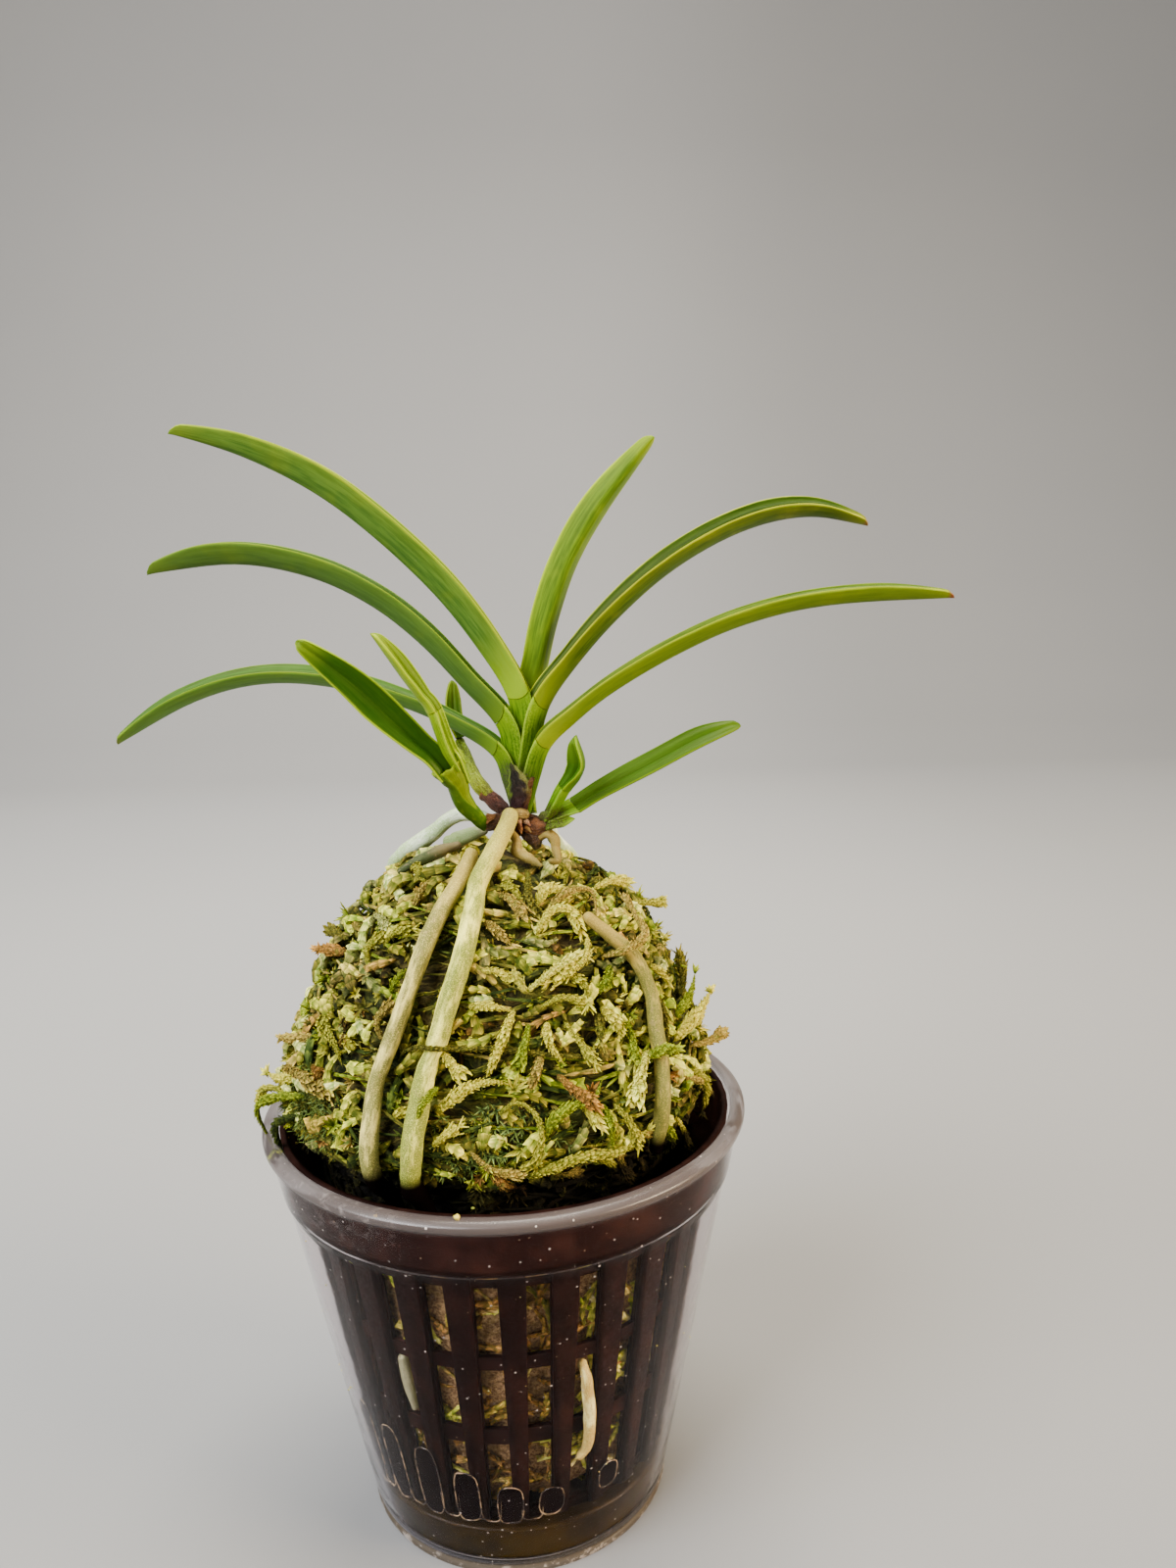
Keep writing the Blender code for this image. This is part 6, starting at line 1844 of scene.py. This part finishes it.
def make_water():
    """Wet patches with beads round them, their bright colour a painted highlight, and the water that
    stands in the cup's foot.
    """
    film, tree, into = new_material("water_film", roughness=0.9, Specular_IOR_Level=0.0)
    place = tree.place()
    tree.join(tree.blend(tree.noise(place, 0.3, 3.0), (0.002, 0.001, 0.001), (0.005, 0.003, 0.003)),
              into["Base Color"])
    bead, tree, into = new_material("water_edge", roughness=0.15, Specular_IOR_Level=0.5)
    # the beads' bright colour is a painted highlight on the water's edge; their gloss is real
    bright = tree.ramp(tree.noise(tree.place(), 0.35, 3.0, 0.6), 0.42, 0.62)
    tree.join(tree.blend(bright, (0.012, 0.007, 0.004), (0.2, 0.14, 0.075)), into["Base Color"])
    bm = bmesh.new()
    outlines = [patch_outline(*patch) for patch in WET_PATCHES]
    for edge in outlines:
        face = bm.faces.new([bm.verts.new(point * MM) for point in edge])
        bmesh.ops.inset_individual(bm, faces=[face], thickness=0.00025, depth=0.0)
    bmesh.ops.triangulate(bm, faces=bm.faces)
    bmesh.ops.recalc_face_normals(bm, faces=bm.faces)
    for vert in bm.verts:
        flat = Vector((vert.co.x, vert.co.y, 0))
        vert.co = flat.normalized() * (cup_radius(vert.co.z / MM) - 1.16) * MM + Vector((0, 0, vert.co.z))
    bmesh.ops.solidify(bm, geom=bm.faces, thickness=0.0001)
    piece("water_film", bm, film, "clear_cup", angle=40)

    bm = bmesh.new()
    lines = list(outlines)
    for turn, low, high, half in WET_TONGUES:
        reach = cup_radius(low) - FILM_IN
        rows = []
        for index in range(25):
            angle = math.pi * index / 24
            across = half * math.cos(angle) / abs(math.cos(angle) or 1) * abs(math.cos(angle)) ** 0.5
            z = high - (high - low) * math.sin(angle) ** 0.45
            rows.append(around_pot(cup_radius(z) - FILM_IN, turn + math.degrees(across / reach), z))
        lines.append(rows)
    for number, line in enumerate(lines):
        closed = number < len(outlines)
        route = line + [line[0]] if closed else line
        last = len(route) - 1

        def place(turn, share):
            index = round(share * last)
            if closed:
                before, after = route[(index - 1) % last], route[(index + 1) % last]
            else:
                before, after = route[max(index - 1, 0)], route[min(index + 1, last)]
            way = (after - before).normalized()
            out = Vector((route[index].x, route[index].y, 0)).normalized()
            side = way.cross(out)
            angle = turn * 2 * math.pi
            size = 0.13 + 0.06 * noise.noise(route[index] * 0.5)
            if not closed:
                size *= clamp(4 * (0.5 - abs(share - 0.5))) ** 0.5
            return (route[index] + (out * math.cos(angle) * 0.8 + side * math.sin(angle)) * size,)

        skin(bm, 8, last, place)
    close_ends(bm)
    piece("water_edges", bm, bead, "clear_cup", angle=180)

    # stained water that stands in the foot of the cup, up to the floor of the net pot
    foot, tree, into = new_material("stained_water", roughness=0.3, Specular_IOR_Level=0.05)
    place = tree.place()
    cloud = tree.noise(place, 0.11, 4.0, 0.6)
    x, y, z = tree.parts(place)
    colour = tree.blend(tree.ramp(cloud, 0.35, 0.7), (0.005, 0.003, 0.0003), (0.024, 0.0145, 0.001))
    colour = tree.blend(tree.ramp(z, 7.5, 10.6, 0.0, 0.7), colour, (0.012, 0.007, 0.002))
    silt = tree.ramp(tree.noise(place, 0.8, 4.0, 0.7), 0.6, 0.72)
    colour = tree.blend(silt * 0.08, colour, (0.16, 0.11, 0.03))
    tree.join(colour, into["Base Color"])
    top, low = cup_radius(10.2) - 1.3, cup_radius(3) - 1.25
    spun("water_in_foot", rounded(((0, 1.35), (25.6, 1.35), (low, 3.1), (top, 9.7), (top - 0.4, 10.1),
                                   (0, 10.0)), 0.3), foot, steps=96)


def make_crumbs():
    """Crumbs of moss on the cup and inside the mouth of the pot."""
    dice = random.Random(5)
    made, tree, into = new_material("crumbs", roughness=0.8)
    tone = tree.mark("tone")
    tree.join(tree.blend(tree.noise(tree.place(), 2.0, 3.0), tone, tree.vector("SCALE", tone, scale=0.5)),
              into["Base Color"])
    spots = [(around_pot(43.25, -6.5, 78.5), 0.75, CREAM), (around_pot(42.9, -25, 76.6), 0.35, TAN),
             (around_pot(39.5, -4, 77.9), 0.3, LIME)]
    for index in range(26):
        turn, z = dice.uniform(-180, 180), dice.uniform(69, 76)
        spots.append((around_pot(mix(39.4, 40.5, (z - 69) / 7), turn, z), dice.uniform(0.12, 0.4),
                      dice.choice((CREAM, TAN, LIME, OLIVE, PALE))))
    for index in range(30):
        turn, z = dice.uniform(-180, 180), dice.uniform(20, 66)
        spots.append((around_pot(cup_radius(z) + 0.02, turn, z), dice.uniform(0.08, 0.2),
                      dice.choice((CREAM, TAN, GREY))))
    bm, marks = marked(("tone",))
    for spot, size, tone in spots:
        grain = bmesh.ops.create_icosphere(bm, subdivisions=2, radius=size * MM)["verts"]
        stretch = Vector((dice.uniform(0.6, 1.5), dice.uniform(0.5, 0.9), dice.uniform(0.5, 0.8)))
        seed = dice.uniform(0, 50)
        for vert in grain:
            bump = 1 + 0.4 * noise.noise(vert.co * 1500 / size + Vector((seed, 0, 0)))
            vert.co = Vector([a * b for a, b in zip(vert.co, stretch)]) * bump + spot * MM
            vert[marks[0]] = tone
    piece("crumbs", bm, made, "moss", angle=180)


make_cup()
make_water()
make_crumbs()


# ---------------------------------------------------------------- floor, lights and camera
def studio():
    """A pale floor that curves up into a wall, three soft lamps, a dim sky and the camera."""
    bm = bmesh.new()
    bmesh.ops.create_grid(bm, x_segments=2, y_segments=40, size=0.5)
    for vert in bm.verts:
        along = vert.co.y + 0.5
        vert.co.x *= 8
        curve = clamp((along - 0.5) / 0.15)
        vert.co.y = -4.2 + 5.0 * min(along / 0.5, 1) + 0.5 * math.sin(curve * math.pi / 2)
        vert.co.z = 0.5 * (1 - math.cos(curve * math.pi / 2)) + 3 * max(along - 0.65, 0)
    paint, tree, into = new_material("pale_floor", roughness=0.75)
    cloudy = tree.noise(tree.place(1.0), 3.0, 2.0)
    away = tree.ramp(tree.parts(tree.place(1.0))[1], -0.25, 0.75)
    near = tree.blend(cloudy, (0.168, 0.166, 0.163), (0.184, 0.182, 0.179))
    colour = tree.blend(away, near, tree.blend(cloudy, (0.42, 0.42, 0.42), (0.46, 0.457, 0.453)))
    right = tree.ramp(tree.parts(tree.place(1.0))[0], 0.0, 0.35, 1.0, 0.8)
    tree.join(tree.vector("SCALE", colour, scale=right), into["Base Color"])
    floor = placed("floor_sweep", meshed("floor_sweep", bm, paint))
    floor.data.shade_smooth()

    def lamp(name, place, aim, size, power, colour):
        data = bpy.data.lights.new(name, "AREA")
        data.shape = "RECTANGLE"
        data.size, data.size_y = size
        data.energy = power
        data.color = colour
        obj = placed(name, data)
        obj.location = place
        obj.rotation_euler = (Vector(aim) - Vector(place)).to_track_quat("-Z", "Y").to_euler()

    lamp("window_light", (-0.55, -0.5, 0.75), (0, 0, 0.12), (0.6, 0.6), 28.0, (0.96, 0.98, 1.0))
    lamp("warm_fill", (0.8, -0.3, 0.35), (0, 0, 0.1), (0.4, 0.4), 19.5, (1.0, 0.8, 0.54))
    lamp("top_light", (0.05, 0.15, 0.9), (0, 0, 0.1), (0.5, 0.5), 16.0, (1.0, 0.95, 0.84))
    world = bpy.data.worlds.new("studio")
    bpy.context.scene.world = world
    world.use_nodes = True
    world.node_tree.nodes["Background"].inputs["Color"].default_value = (0.83, 0.86, 0.9, 1)
    world.node_tree.nodes["Background"].inputs["Strength"].default_value = 0.22

    data = bpy.data.cameras.new("camera")
    data.lens = 27.05
    data.clip_start = 0.01
    camera = placed("camera", data)
    # it looks a little down and leans a little to the left
    down, roll = math.radians(10.505), math.radians(-1.596)
    level_up = Vector((0, math.sin(down), math.cos(down)))
    right = Vector((math.cos(roll), 0, 0)) + level_up * math.sin(roll)
    up = level_up * math.cos(roll) - Vector((math.sin(roll), 0, 0))
    turn = Matrix((right, up, right.cross(up))).transposed()
    camera.matrix_world = Matrix.Translation((0.01724, -0.20976, 0.17687)) @ turn.to_4x4()
    bpy.context.scene.camera = camera


studio()
